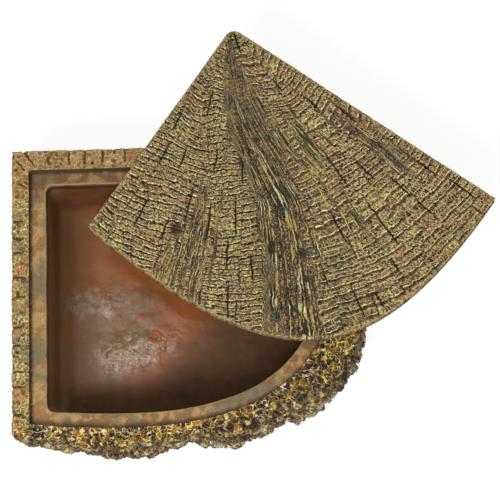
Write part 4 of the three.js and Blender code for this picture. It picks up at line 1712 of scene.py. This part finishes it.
@dataclass
class BarkWall:
    """The curved wall of cork bark, with its broken rim."""

    plan: SeatPlan
    height: float = 0.080
    seat_depth: float = 0.008
    thickness: float = 0.0147
    reach: float = 0.0308
    flare_power: float = 1.3
    plate_width: float = 0.013
    plate_height: float = 0.026
    plate_lift: float = 0.0022
    furrow_width: float = 0.006
    furrow_depth: float = 0.003
    furrow_sway: float = 0.0025
    sway_pitch: float = 0.038
    stand_out: float = 0.0016
    rim_round: float = 0.0018
    columns: int = 640
    face_rows: int = 96
    round_rows: int = 5
    rim_rows: int = 24
    seat_rows: int = 5
    seat_gap: float = 0.0005
    rim_reach: float = 0.015
    seat_start: float = 0.016
    seat_reach: float = 0.010
    round_rise: float = 0.6
    rim_rise: float = 0.55
    rim_edge: tuple[float, float] = (0.72, 0.28)
    overlap: float = 0.0012
    end_inset: float = 0.00005
    pattern: BarkPattern = field(default_factory=BarkPattern)

    def offset(self, share: np.ndarray, height: np.ndarray) -> np.ndarray:
        """How far the bark stands out from the seat's curve, before its fine relief.

        Args:
            share: Share of the curve.
            height: Height above the foot.

        Returns:
            The distance at each share and height.
        """
        table = BARK_SHARES
        above = np.clip(np.searchsorted(table[:, 0], share), 1, len(table) - 1)
        low, high = table[above - 1], table[above]
        part = eased((share - low[..., 0]) / (high[..., 0] - low[..., 0]))
        at_rim = mixed(low[..., 1], high[..., 1], part) * self.thickness
        at_foot = mixed(low[..., 2], high[..., 2], part) * self.reach
        plain = mixed(at_rim, at_foot, np.clip(1 - height / self.height, 0, 1) ** self.flare_power)
        furrow, plate = self.carving(share, height)
        carved = self.furrow_depth * furrow + self.plate_lift * plate
        return plain - carved * np.minimum(1, plain / self.thickness)

    def carving(self, share: np.ndarray, height: np.ndarray) -> tuple[np.ndarray, np.ndarray]:
        """How the bark is split into plates.

        Args:
            share: Share of the curve.
            height: Height above the foot.

        Returns:
            How deep in a furrow each place is, and how far its plate lies back, each from 0 to 1.
        """
        along = share * self.plan.curve_length
        swing = np.sin(math.tau * along / self.sway_pitch)
        sway = np.sin(math.tau * height / self.plate_height + swing)
        across = (along + self.furrow_sway * sway) / self.plate_width
        column, aside = cell_at(across, np.zeros_like(along))
        row, above = cell_at(height / self.plate_height + scatter(column), column)
        border = np.minimum(aside * self.plate_width, above * self.plate_height)
        return 1 - eased(border / (self.furrow_width / 2)), scatter(column + row / 2)

    def _distance(self, row: BarkRow, share: np.ndarray) -> np.ndarray:
        """How far from the seat's curve a row lies."""
        out = self.offset(share, row.carved_at) + self.stand_out - row.inset
        return out * row.width - row.behind

    def _column_shares(self, row: BarkRow) -> np.ndarray:
        """Shares of the curve from the side wall's outside to the back wall's.

        Args:
            row: The row that they are for.

        Returns:
            One share for each column.
        """
        plan = self.plan
        ends = (-plan.side_wall + self.end_inset, plan.back_wall - self.end_inset)
        start, end = (
            plan.share_where(lambda share: self._distance(row, share), axis, target)
            for axis, target in enumerate(ends)
        )
        return np.linspace(start, end, self.columns)

    def _rows(self) -> list[BarkRow]:
        """The skin's rows.

        Returns:
            The rows up the face, over the rim to the seat, and down behind the basin.
        """
        top, face_top = self.height, self.height - self.rim_round
        seat = top - self.seat_depth - self.seat_gap
        face = np.linspace(0, face_top, self.face_rows)
        rows = [BarkRow(level, level, level, grow=1) for level in face]
        for turn in np.linspace(0, QUARTER, self.round_rows + 1)[1:]:
            inset = self.rim_round * (1 - math.cos(turn))
            level = face_top + self.rim_round * math.sin(turn)
            upness = face_top + self.rim_round * turn
            move = {"grow": math.cos(turn), "rise": math.sin(turn) * self.round_rise}
            rows.append(BarkRow(level, upness, top, inset, rim=turn / QUARTER, **move))
        for share in np.linspace(0, 1, self.rim_rows + 1)[1:]:
            rise = self.rim_rise * (1 - ease((share - self.rim_edge[0]) / self.rim_edge[1]))
            upness = top + self.rim_reach * share
            rows.append(BarkRow(top, upness, top, self.rim_round, 1 - share, rise=rise, rim=1))
        for share in np.linspace(0, 1, self.seat_rows + 1)[1:]:
            upness = top + self.seat_start + share * self.seat_reach
            rows.append(BarkRow(mixed(top, seat, share), upness, top, width=0, rim=1))
        for level in (seat, 0.0):
            rows.append(BarkRow(level, top, top, width=0, behind=self.overlap))
        return rows

    def build(self) -> bpy.types.Object:
        """Makes and dresses the bark.

        Returns:
            The curved wall as one piece.
        """
        plan, rows = self.plan, self._rows()
        points, push, sheet, cleft = [], [], [], []
        for row in rows:
            shares = self._column_shares(row)
            even = np.ones(len(shares))
            outward = plan.outward(shares)
            outward[0], outward[-1] = [0, -1], [1, 0]
            points.append(np.c_[plan.offset(shares, self._distance(row, shares)), even * row.level])
            push.append(np.c_[outward * row.grow, even * row.rise])
            sheet.append(np.c_[shares * plan.curve_length, even * row.upness, even * row.rim])
            cleft.append(self.carving(shares, row.carved_at)[0])
        placed = np.concatenate(points) + np.r_[plan.origin, 0]
        marks = {
            "sheet_at": np.concatenate(sheet),
            "cast_at": placed,
            "push": np.concatenate(push),
            "cleft": np.concatenate(cleft),
        }
        faces = lattice(len(rows), self.columns, around_rows=True)
        faces += end_caps(len(rows), self.columns)
        piece = skin("base_bark", placed, faces, marks)
        relief = Relief("bark_relief", self.pattern, ("sheet_at", "cast_at", "cleft"))
        relief.press(piece, BarkFinish(self.pattern).material())
        return piece


@dataclass(frozen=True)
class WallRow:
    """One row of points of the flat walls: where it lies, and how its relief moves it."""

    line: np.ndarray
    level: float
    inward: float = 0.012
    grow: float = 0.0
    rise: float = 0.0
    top: float = 0.0


@dataclass(frozen=True)
class WallLines:
    """The flat walls' inner and outer line, point by point from the front corner to the far end."""

    inner: np.ndarray
    outer: np.ndarray
    side_count: int
    square_reach: float = 0.03

    def across(self) -> np.ndarray:
        """The way from each outer point to its inner one."""
        way = self.inner - self.outer
        return way / np.linalg.norm(way, axis=1, keepdims=True)

    def away(self) -> np.ndarray:
        """The way out of the wall at each point."""
        beside = np.arange(len(self.outer))[:, None] < self.side_count
        return np.where(beside, [[-1.0, 0.0]], [[0.0, 1.0]])

    def along(self, line: np.ndarray) -> np.ndarray:
        """How far along the walls the points of a line are.

        Args:
            line: A line of points between the outer and the inner line.

        Returns:
            The distances, square to each wall away from the corner and mitred round it.
        """
        steps = np.linalg.norm(np.diff((self.inner + self.outer) / 2, axis=0), axis=1)
        mitred = np.r_[0, np.cumsum(steps)]
        turn = mitred[self.side_count - 1]
        beside = np.arange(len(line)) < self.side_count
        square = turn + np.where(beside, line[:, 1], line[:, 0])
        from_corner = np.where(beside, -self.inner[:, 1], self.inner[:, 0])
        return mixed(mitred, square, eased(from_corner / self.square_reach))


@dataclass
class FlatWalls:
    """The side wall and the back wall, which meet at the square corner."""

    plan: SeatPlan
    height: float = 0.080
    seat_depth: float = 0.008
    seat_corner: float = 0.002
    overlap: float = 0.0012
    bark_lap: float = 0.003
    step: float = 0.00072
    tuck: float = 0.0005
    shoulder: float = 0.0008
    worn_from: float = 0.066
    foot: float = 0.0004
    plain_levels: tuple[float, ...] = (0.012, 0.028, 0.044, 0.058)
    worn_share: float = 0.2
    worn_grow: float = 0.9
    shoulder_grow: float = 0.5
    top_width: float = 0.012
    top_start: float = 0.0004
    top_edge: tuple[float, float] = (0.85, 0.15)
    top_hold: float = 0.75
    seat_start: float = -0.0002
    seat_reach: float = -0.008
    hidden_reach: float = -0.009
    worn_rows: int = 9
    top_rows: int = 20
    seat_rows: int = 8
    pattern: WallTopPattern = field(default_factory=WallTopPattern)

    def build(self) -> bpy.types.Object:
        """Makes and dresses the two walls.

        Returns:
            The walls as one piece.
        """
        lines = self._lines()
        rows = self._outside(lines) + self._top(lines) + self._inside(lines)
        points = [np.c_[row.line, np.full(len(row.line), row.level)] for row in rows]
        placed = np.concatenate(points) + np.r_[self.plan.origin, 0]
        away = lines.away()
        push = [np.c_[away * row.grow, np.full(len(row.line), row.rise)] for row in rows]
        sheet = [self._sheet(lines, row) for row in rows]
        marks = {"sheet_at": np.concatenate(sheet), "cast_at": placed, "push": np.concatenate(push)}
        count, columns = len(rows), len(lines.outer)
        faces = [face[::-1] for face in lattice(count, columns, around_rows=True)]
        piece = skin("base_walls", placed, faces + end_caps(count, columns), marks)
        relief = Relief("wall_relief", self.pattern, ("sheet_at", "cast_at"))
        relief.press(piece, WallTopFinish(self.pattern).material())
        return piece

    def _outside(self, lines: WallLines) -> list[WallRow]:
        """The rows up the walls' outsides.

        Args:
            lines: The walls' lines.

        Returns:
            The rows, from the foot up.
        """
        levels = (self.foot, *self.plain_levels, self.worn_from)
        rows = [WallRow(lines.outer, level) for level in levels]
        for share in np.linspace(0, 1, self.worn_rows + 1)[1:]:
            level = mixed(self.worn_from, self.height - self.shoulder, share)
            grow = ease((share - self.worn_share) / (1 - self.worn_share)) * self.worn_grow
            rows.append(WallRow(lines.outer, level, grow=grow, top=float(share) * 0.5))
        return rows

    def _top(self, lines: WallLines) -> list[WallRow]:
        """The rows across the walls' tops.

        Args:
            lines: The walls' lines.

        Returns:
            The rows, from the outside in.
        """
        rows, across = [], lines.across()
        worn = lines.outer + across * self.shoulder
        for share in np.linspace(0, 1, self.top_rows + 1):
            line = mixed(worn, lines.inner - across * self.tuck, share)
            rise = 1 - self.top_hold * ease((share - self.top_edge[0]) / self.top_edge[1])
            inward = self.top_width * (1 - share) + self.top_start
            grow = self.shoulder_grow if share == 0 else 0.0
            rows.append(WallRow(line, self.height, inward, grow, rise, 1.0))
        return rows

    def _inside(self, lines: WallLines) -> list[WallRow]:
        """The rows down the walls' insides.

        Args:
            lines: The walls' lines.

        Returns:
            The rows down to the seat, and down behind the basin.
        """
        rows = []
        for share in np.linspace(0, 1, self.seat_rows):
            level = self.height - self.tuck - self.seat_depth * share
            inward = self.seat_start + self.seat_reach * share
            rows.append(WallRow(lines.inner, level, inward, top=1.0))
        hidden = lines.inner + lines.across() * self.overlap
        for level in (self.height - self.seat_depth - self.tuck, self.foot):
            rows.append(WallRow(hidden, level, self.hidden_reach, top=1.0))
        return rows

    def _sheet(self, lines: WallLines, row: WallRow) -> np.ndarray:
        """A row's places along the walls and across their tops, and how much of it is top."""
        even = np.ones(len(row.line))
        return np.c_[lines.along(row.line), even * row.inward, even * row.top]

    def _lines(self) -> WallLines:
        """Draws the walls' lines.

        Returns:
            The lines, from the front corner round to the far end.
        """
        plan = self.plan
        front, far = -plan.short - self.bark_lap, plan.long + self.bark_lap
        corner_in = np.array([self.seat_corner / 4, -self.seat_corner / 4])
        corner_out = np.array([-plan.side_wall, plan.back_wall])
        side, back = int(-front / self.step), int(far / self.step)
        inner_side = straight(np.array([0.0, front]), np.array([0.0, -self.seat_corner]), side)
        inner_back = straight(np.array([self.seat_corner, 0.0]), np.array([far, 0.0]), back)
        inner = np.concatenate([inner_side, [corner_in], inner_back])
        outer_side = straight(np.array([-plan.side_wall, front]), corner_out, side + 1)
        outer_back = straight(corner_out, np.array([far, plan.back_wall]), back + 1)[1:]
        return WallLines(inner, np.concatenate([outer_side, outer_back]), side + 1)


@dataclass
class Basin:
    """The ledge under the lid, the basin inside it, and the underside."""

    plan: SeatPlan
    height: float = 0.080
    seat_depth: float = 0.008
    floor: float = 0.008
    ledge_side: float = 0.0098
    ledge_back: float = 0.0081
    ledge_front: float = 0.0093
    seat_corner: float = 0.002
    corner: float = 0.005
    lip: float = 0.0012
    draft: float = 0.0025
    fillet: float = 0.015
    corner_share: float = 0.7
    tuck: float = 0.0006
    foot: float = 0.0008
    skirt_top: float = 0.002
    # Painted shade beside the curved wall and under the lid: how far it reaches, where it starts reaching
    # further, and by how much.
    painted_shade_reach: tuple[float, float] = (0.012, 0.042)
    painted_shade_from: float = 0.065
    painted_shade_more: float = 0.034
    # Painted shade down the basin's walls and round the fillet, and how far it spreads over the ledge and
    # the floor.
    painted_shade_top: float = 0.2
    painted_shade_rise: float = 0.25
    painted_shade_foot: float = 0.45
    ledge_shade: float = 0.3
    lip_blend: float = 0.5
    wall_blend: float = 4.0
    floor_shade: float = 0.26
    ledge_rows: int = 12
    lip_rows: int = 5
    wall_rows: int = 21
    fillet_rows: int = 13
    floor_rows: int = 46
    still_rows: int = 3
    pattern: CastPattern = field(default_factory=CastPattern)

    def build(self) -> bpy.types.Object:
        """Makes and dresses the basin.

        Returns:
            The basin as one piece.
        """
        rows = self._rows()
        columns, count = len(rows[0][0]), len(rows)
        heart = self.heart
        points = np.concatenate([np.c_[ring, np.full(columns, level)] for ring, level, _ in rows])
        sheet = np.concatenate([np.tile(mark, (columns, 1)) for _, _, mark in rows])
        points = np.r_[points, [[heart[0], heart[1], self.floor]]]
        sheet = np.r_[sheet, [[0, 1, 0]]]
        # The third mark also takes the painted shade beside the curved wall and under the lid.
        sheet[:, 2] = np.maximum(sheet[:, 2], sheet[:, 1] * self._painted_shade_beside_curve(points[:, :2]))
        placed = points + np.r_[self.plan.origin, 0]
        faces = lattice(count, columns, around_columns=True)
        start, hub = (count - 1) * columns, len(points) - 1
        faces += [[start + i, start + (i + 1) % columns, hub] for i in range(columns)]
        faces.append(list(range(columns))[::-1])
        push = normals(placed, faces)
        push[: columns * self.still_rows] = 0
        marks = {"sheet_at": sheet, "cast_at": placed, "push": push}
        piece = skin("base_basin", placed, faces, marks)
        relief = Relief("basin_relief", self.pattern, ("sheet_at", "cast_at"))
        relief.press(piece, BasinFinish(self.pattern).material())
        return piece

    @property
    def heart(self) -> np.ndarray:
        """The middle of the floor."""
        return self._inset(self.lip + self.draft + self.fillet).mean(axis=0)

    def _rows(self) -> list[tuple[np.ndarray, float, Place]]:
        """The skin's rows, from the foot of the skirt to the middle of the floor.

        Returns:
            Each row's ring, its level, and what its paint reads: how much of it is ledge, how far
            down inside the basin it is, and how much painted shade it has.
        """
        seat, out = self.height - self.seat_depth, -self.tuck
        skirt = self.plan.ring(out, out, out, self.seat_corner, self.seat_corner)
        rim = self._inset(0)
        rows = [(skirt, self.foot, (0, 0, 0))]
        rows += [(skirt, level, (1, 0, 0)) for level in (seat - self.skirt_top, seat)]
        for share in np.linspace(0, 1, self.ledge_rows + 1)[1:]:
            # Painted shade along the ledge's outer edge, where the step shades it.
            dark = 1 - ease(share / self.ledge_shade)
            rows.append((mixed(skirt, rim, share), seat, (1, 0, dark)))
        for turn in np.linspace(0, QUARTER, self.lip_rows + 1)[1:]:
            ring = self._inset(self.lip * math.sin(turn))
            level = seat - self.lip * (1 - math.cos(turn))
            rows.append((ring, level, (1 - self.lip_blend * turn / QUARTER, 0, 0)))
        top, foot = seat - self.lip, self.floor + self.fillet
        for share in np.linspace(0, 1, self.wall_rows + 1)[1:]:
            ring = self._inset(self.lip + self.draft * share)
            ledge = self.lip_blend * (1 - min(1, share * self.wall_blend))
            # Painted shade down the wall, deepening below the lip.
            dark = self.painted_shade_top + self.painted_shade_rise * ease(share * self.wall_blend)
            rows.append((ring, top + (foot - top) * share, (ledge, share, dark)))
        for turn in np.linspace(0, QUARTER, self.fillet_rows + 1)[1:]:
            ring = self._inset(self.lip + self.draft + self.fillet * (1 - math.cos(turn)))
            # Painted shade round the fillet.
            rows.append((ring, foot - self.fillet * math.sin(turn), (0, 1, self.painted_shade_foot)))
        last, heart = rows[-1][0], self.heart
        for share in np.linspace(0, 1, self.floor_rows + 2)[1:-1]:
            # Painted shade fading out across the floor.
            dark = self.painted_shade_foot * (1 - ease(share / self.floor_shade))
            rows.append((mixed(last, heart, share), self.floor, (0, 1, dark)))
        return rows

    def _painted_shade_beside_curve(self, points: np.ndarray) -> np.ndarray:
        """How much painted shade lies beside the curved wall, where the wall and the lid shade the floor.

        Args:
            points: Places in the plan.

        Returns:
            1 at the wall and 0 away from it, reaching further towards the far end.
        """
        inward = np.full(CURVE_STEPS, -self.ledge_front)
        gap = nearest(points, self.plan.offset(np.linspace(0, 1, CURVE_STEPS), inward))
        deeper = eased((points[:, 0] - self.painted_shade_from) / self.painted_shade_from) * self.painted_shade_more
        near, far = self.painted_shade_reach
        return 1 - eased((gap - near - deeper / 2) / (far - near + deeper))

    def _inset(self, inset: float) -> np.ndarray:
        """The basin's plan, drawn in further."""
        walls = [ledge + inset for ledge in (self.ledge_side, self.ledge_back, self.ledge_front)]
        return self.plan.ring(*walls, *[self.corner + self.corner_share * inset] * 2)


@dataclass
class Doorway:
    """The arch cut through the end of the curved wall."""

    plan: SeatPlan
    width: float = 0.060
    height: float = 0.050
    spring_share: float = 0.42
    sill: float = 0.0095
    from_back: float = 0.051
    flare: float = 0.004
    inside: float = 0.192
    outside: float = 0.254
    arch_steps: int = 96
    side_steps: int = 16
    sill_steps: int = 44
    depth_rows: int = 46
    pattern: RevealPattern = field(default_factory=RevealPattern)

    def cut(self, *pieces: bpy.types.Object) -> None:
        """Cuts the doorway out of the pieces.

        Args:
            pieces: The pieces that the arch goes through.
        """
        tool = self._tool()
        for piece in pieces:
            modifier = piece.modifiers.new("doorway", "BOOLEAN")
            modifier.operation, modifier.object, modifier.solver = "DIFFERENCE", tool, "MANIFOLD"
            modifier.material_mode = "TRANSFER"
            flatten(piece)
        bpy.data.objects.remove(tool)

    def _tool(self) -> bpy.types.Object:
        """Makes the solid that the arch removes.

        Returns:
            The solid, rough all round.
        """
        rows = []
        for share in np.linspace(0, 1, self.depth_rows):
            x = mixed(self.inside, self.outside, share)
            widen = self.flare * max(0.0, (x - self.plan.long) / (self.outside - self.plan.long))
            across, up = self._arch(widen).T
            rows.append(np.c_[np.full(len(up), x), across - self.from_back, up + self.sill])
        points = np.concatenate(rows) + np.r_[self.plan.origin, 0]
        columns, count = len(rows[0]), len(rows)
        faces = lattice(count, columns, around_columns=True)
        first = list(range(columns))
        faces += [first[::-1], [(count - 1) * columns + i for i in first]]
        push = normals(points, faces)
        push[:, 0] = 0
        marks = {"sheet_at": points, "cast_at": points, "push": push}
        tool = skin("doorway_tool", points, faces, marks)
        relief = Relief("doorway_relief", self.pattern, ("sheet_at", "cast_at"))
        relief.press(tool, RevealFinish(self.pattern).material())
        return tool

    def _arch(self, widen: float) -> np.ndarray:
        """Draws the arch's outline.

        Args:
            widen: How much wider it is on each side, and how much higher.

        Returns:
            Its points: across, and up from the sill.
        """
        half, spring = self.width / 2 + widen, self.height * self.spring_share
        turn = np.linspace(0, math.pi, self.arch_steps)
        rise = spring + (self.height + widen - spring) * np.sin(turn)
        low, high = (np.array([[-half, up], [half, up]]) for up in (0.0, spring))
        left = straight(high[0], low[0], self.side_steps)[1:]
        base = straight(low[0], low[1], self.sill_steps)[1:]
        right = straight(low[1], high[1], self.side_steps)[1:-1]
        return np.concatenate([np.stack([half * np.cos(turn), rise], axis=1), left, base, right])


@dataclass(frozen=True)
class SoftLamp:
    """A square lamp of soft light: where it is, what it faces, its side and its strength."""

    name: str
    at: Place
    aim: Place
    side: float
    watts: float


@dataclass
class Studio:
    """Pale floor, soft lamps, and the camera at the photograph's angle."""

    aim: Place = (0.03733, 0.02927, 0.080)
    back: Place = (-0.00605, -0.20873, 0.97795)
    distance: float = 1.197
    lens: float = 125.85
    sensor: float = 36.0
    floor_size: float = 8.0
    floor_glow: float = 0.86
    floor_matt: float = 0.8
    floor_faint: float = 0.24
    sky: float = 0.25
    lamps: tuple[SoftLamp, ...] = (
        SoftLamp("key", (-0.30, -0.60, 1.12), (0.0, 0.0, 0.05), 0.40, 11.6),
        SoftLamp("sheen", (-0.13, 0.12, 1.25), (-0.05, -0.04, 0.0), 0.16, 2.4),
        SoftLamp("fill", (0.9, 1.1, 1.2), (0.0, 0.0, 0.05), 1.2, 3.0),
    )

    def build(self) -> None:
        """Makes the floor, the light and the camera."""
        self._floor()
        self._sky()
        for lamp in self.lamps:
            self._lamp(lamp)
        self._camera()

    def _seen_directly(self, g: Graph) -> Sock:
        """Tells the camera's rays from the rest.

        Args:
            g: The tree to add to.

        Returns:
            1 for rays that come from the camera, or by way of gloss or glass, and 0 for others.
        """
        path = g.add("ShaderNodeLightPath")
        gloss = g.out(path, "Is Glossy Ray").most(g.out(path, "Is Transmission Ray"))
        return g.out(path, "Is Camera Ray").most(gloss)

    def _floor(self) -> None:
        """A white floor that keeps the object's soft shadow."""
        half = self.floor_size / 2
        corners = ((-half, -half), (half, -half), (half, half), (-half, half))
        floor = skin("floor", np.array([(x, y, 0.0) for x, y in corners]), [[0, 1, 2, 3]], {})
        material = bpy.data.materials.new("pale_floor")
        material.use_nodes = True
        g = Graph(material.node_tree)
        nodes = material.node_tree.nodes
        nodes.remove(nodes["Principled BSDF"])
        lit = {"Color": grey(1.0), "Strength": self.floor_glow}
        matt = g.value("ShaderNodeBsdfDiffuse", None, {"Color": grey(self.floor_matt)})
        glow = g.value("ShaderNodeEmission", None, lit)
        faint = g.value("ShaderNodeBsdfDiffuse", None, {"Color": grey(self.floor_faint)})
        white = g.value("ShaderNodeAddShader", None, {0: glow, 1: faint})
        shares = {0: self._seen_directly(g), 1: matt, 2: white}
        g.feed(nodes["Material Output"], "Surface", g.value("ShaderNodeMixShader", None, shares))
        floor.data.materials.append(material)

    def _sky(self) -> None:
        """White behind the object, and an even pale light on it."""
        world = bpy.data.worlds.new("studio")
        bpy.context.scene.world = world
        world.use_nodes = True
        g = Graph(world.node_tree)
        background = world.node_tree.nodes["Background"]
        background.inputs["Color"].default_value = grey(1.0)
        g.feed(background, "Strength", self._seen_directly(g) * (1 - self.sky) + self.sky)

    def _lamp(self, lamp: SoftLamp) -> None:
        """Makes a soft lamp.

        Args:
            lamp: What it is like.
        """
        light = bpy.data.lights.new(lamp.name, "AREA")
        light.size, light.energy = lamp.side, lamp.watts
        holder = bpy.data.objects.new(lamp.name, light)
        holder.location = lamp.at
        facing = Vector(lamp.at) - Vector(lamp.aim)
        holder.rotation_euler = facing.to_track_quat("Z", "Y").to_euler()
        holder.visible_camera = False
        bpy.context.scene.collection.objects.link(holder)

    def _camera(self) -> None:
        """The camera, with no shift and no depth of field."""
        scene = bpy.context.scene
        camera = bpy.data.cameras.new("camera")
        camera.lens, camera.sensor_width = self.lens, self.sensor
        holder = bpy.data.objects.new("camera", camera)
        back = Vector(self.back).normalized()
        holder.location = Vector(self.aim) + back * self.distance
        holder.rotation_euler = back.to_track_quat("Z", "Y").to_euler()
        scene.collection.objects.link(holder)
        scene.camera = holder
        scene.view_settings.view_transform = "Standard"


def mount(piece: bpy.types.Object, body: Body, node: str) -> None:
    """Ties a finished piece to its body and the node that it stands for.

    Args:
        piece: The finished piece.
        body: The body that it moves with.
        node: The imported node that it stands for.
    """
    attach(piece, body.value)
    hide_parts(node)
    LOG.info("%s: %d faces, rides on %s", piece.name, len(piece.data.polygons), body.value)


def main() -> None:
    """Builds the hide piece by piece, then the studio."""
    logging.basicConfig(level=logging.INFO, format="%(name)s: %(message)s")
    plan = SeatPlan()
    Studio().build()
    bark, walls, basin = BarkWall(plan).build(), FlatWalls(plan).build(), Basin(plan).build()
    Doorway(plan).cut(bark, basin)
    for piece in (bark, walls, basin):
        mount(piece, Body.BASE, "base")
    mount(LidSlab(plan).build(), Body.LID, "lid")


if __name__ == "__main__":
    main()
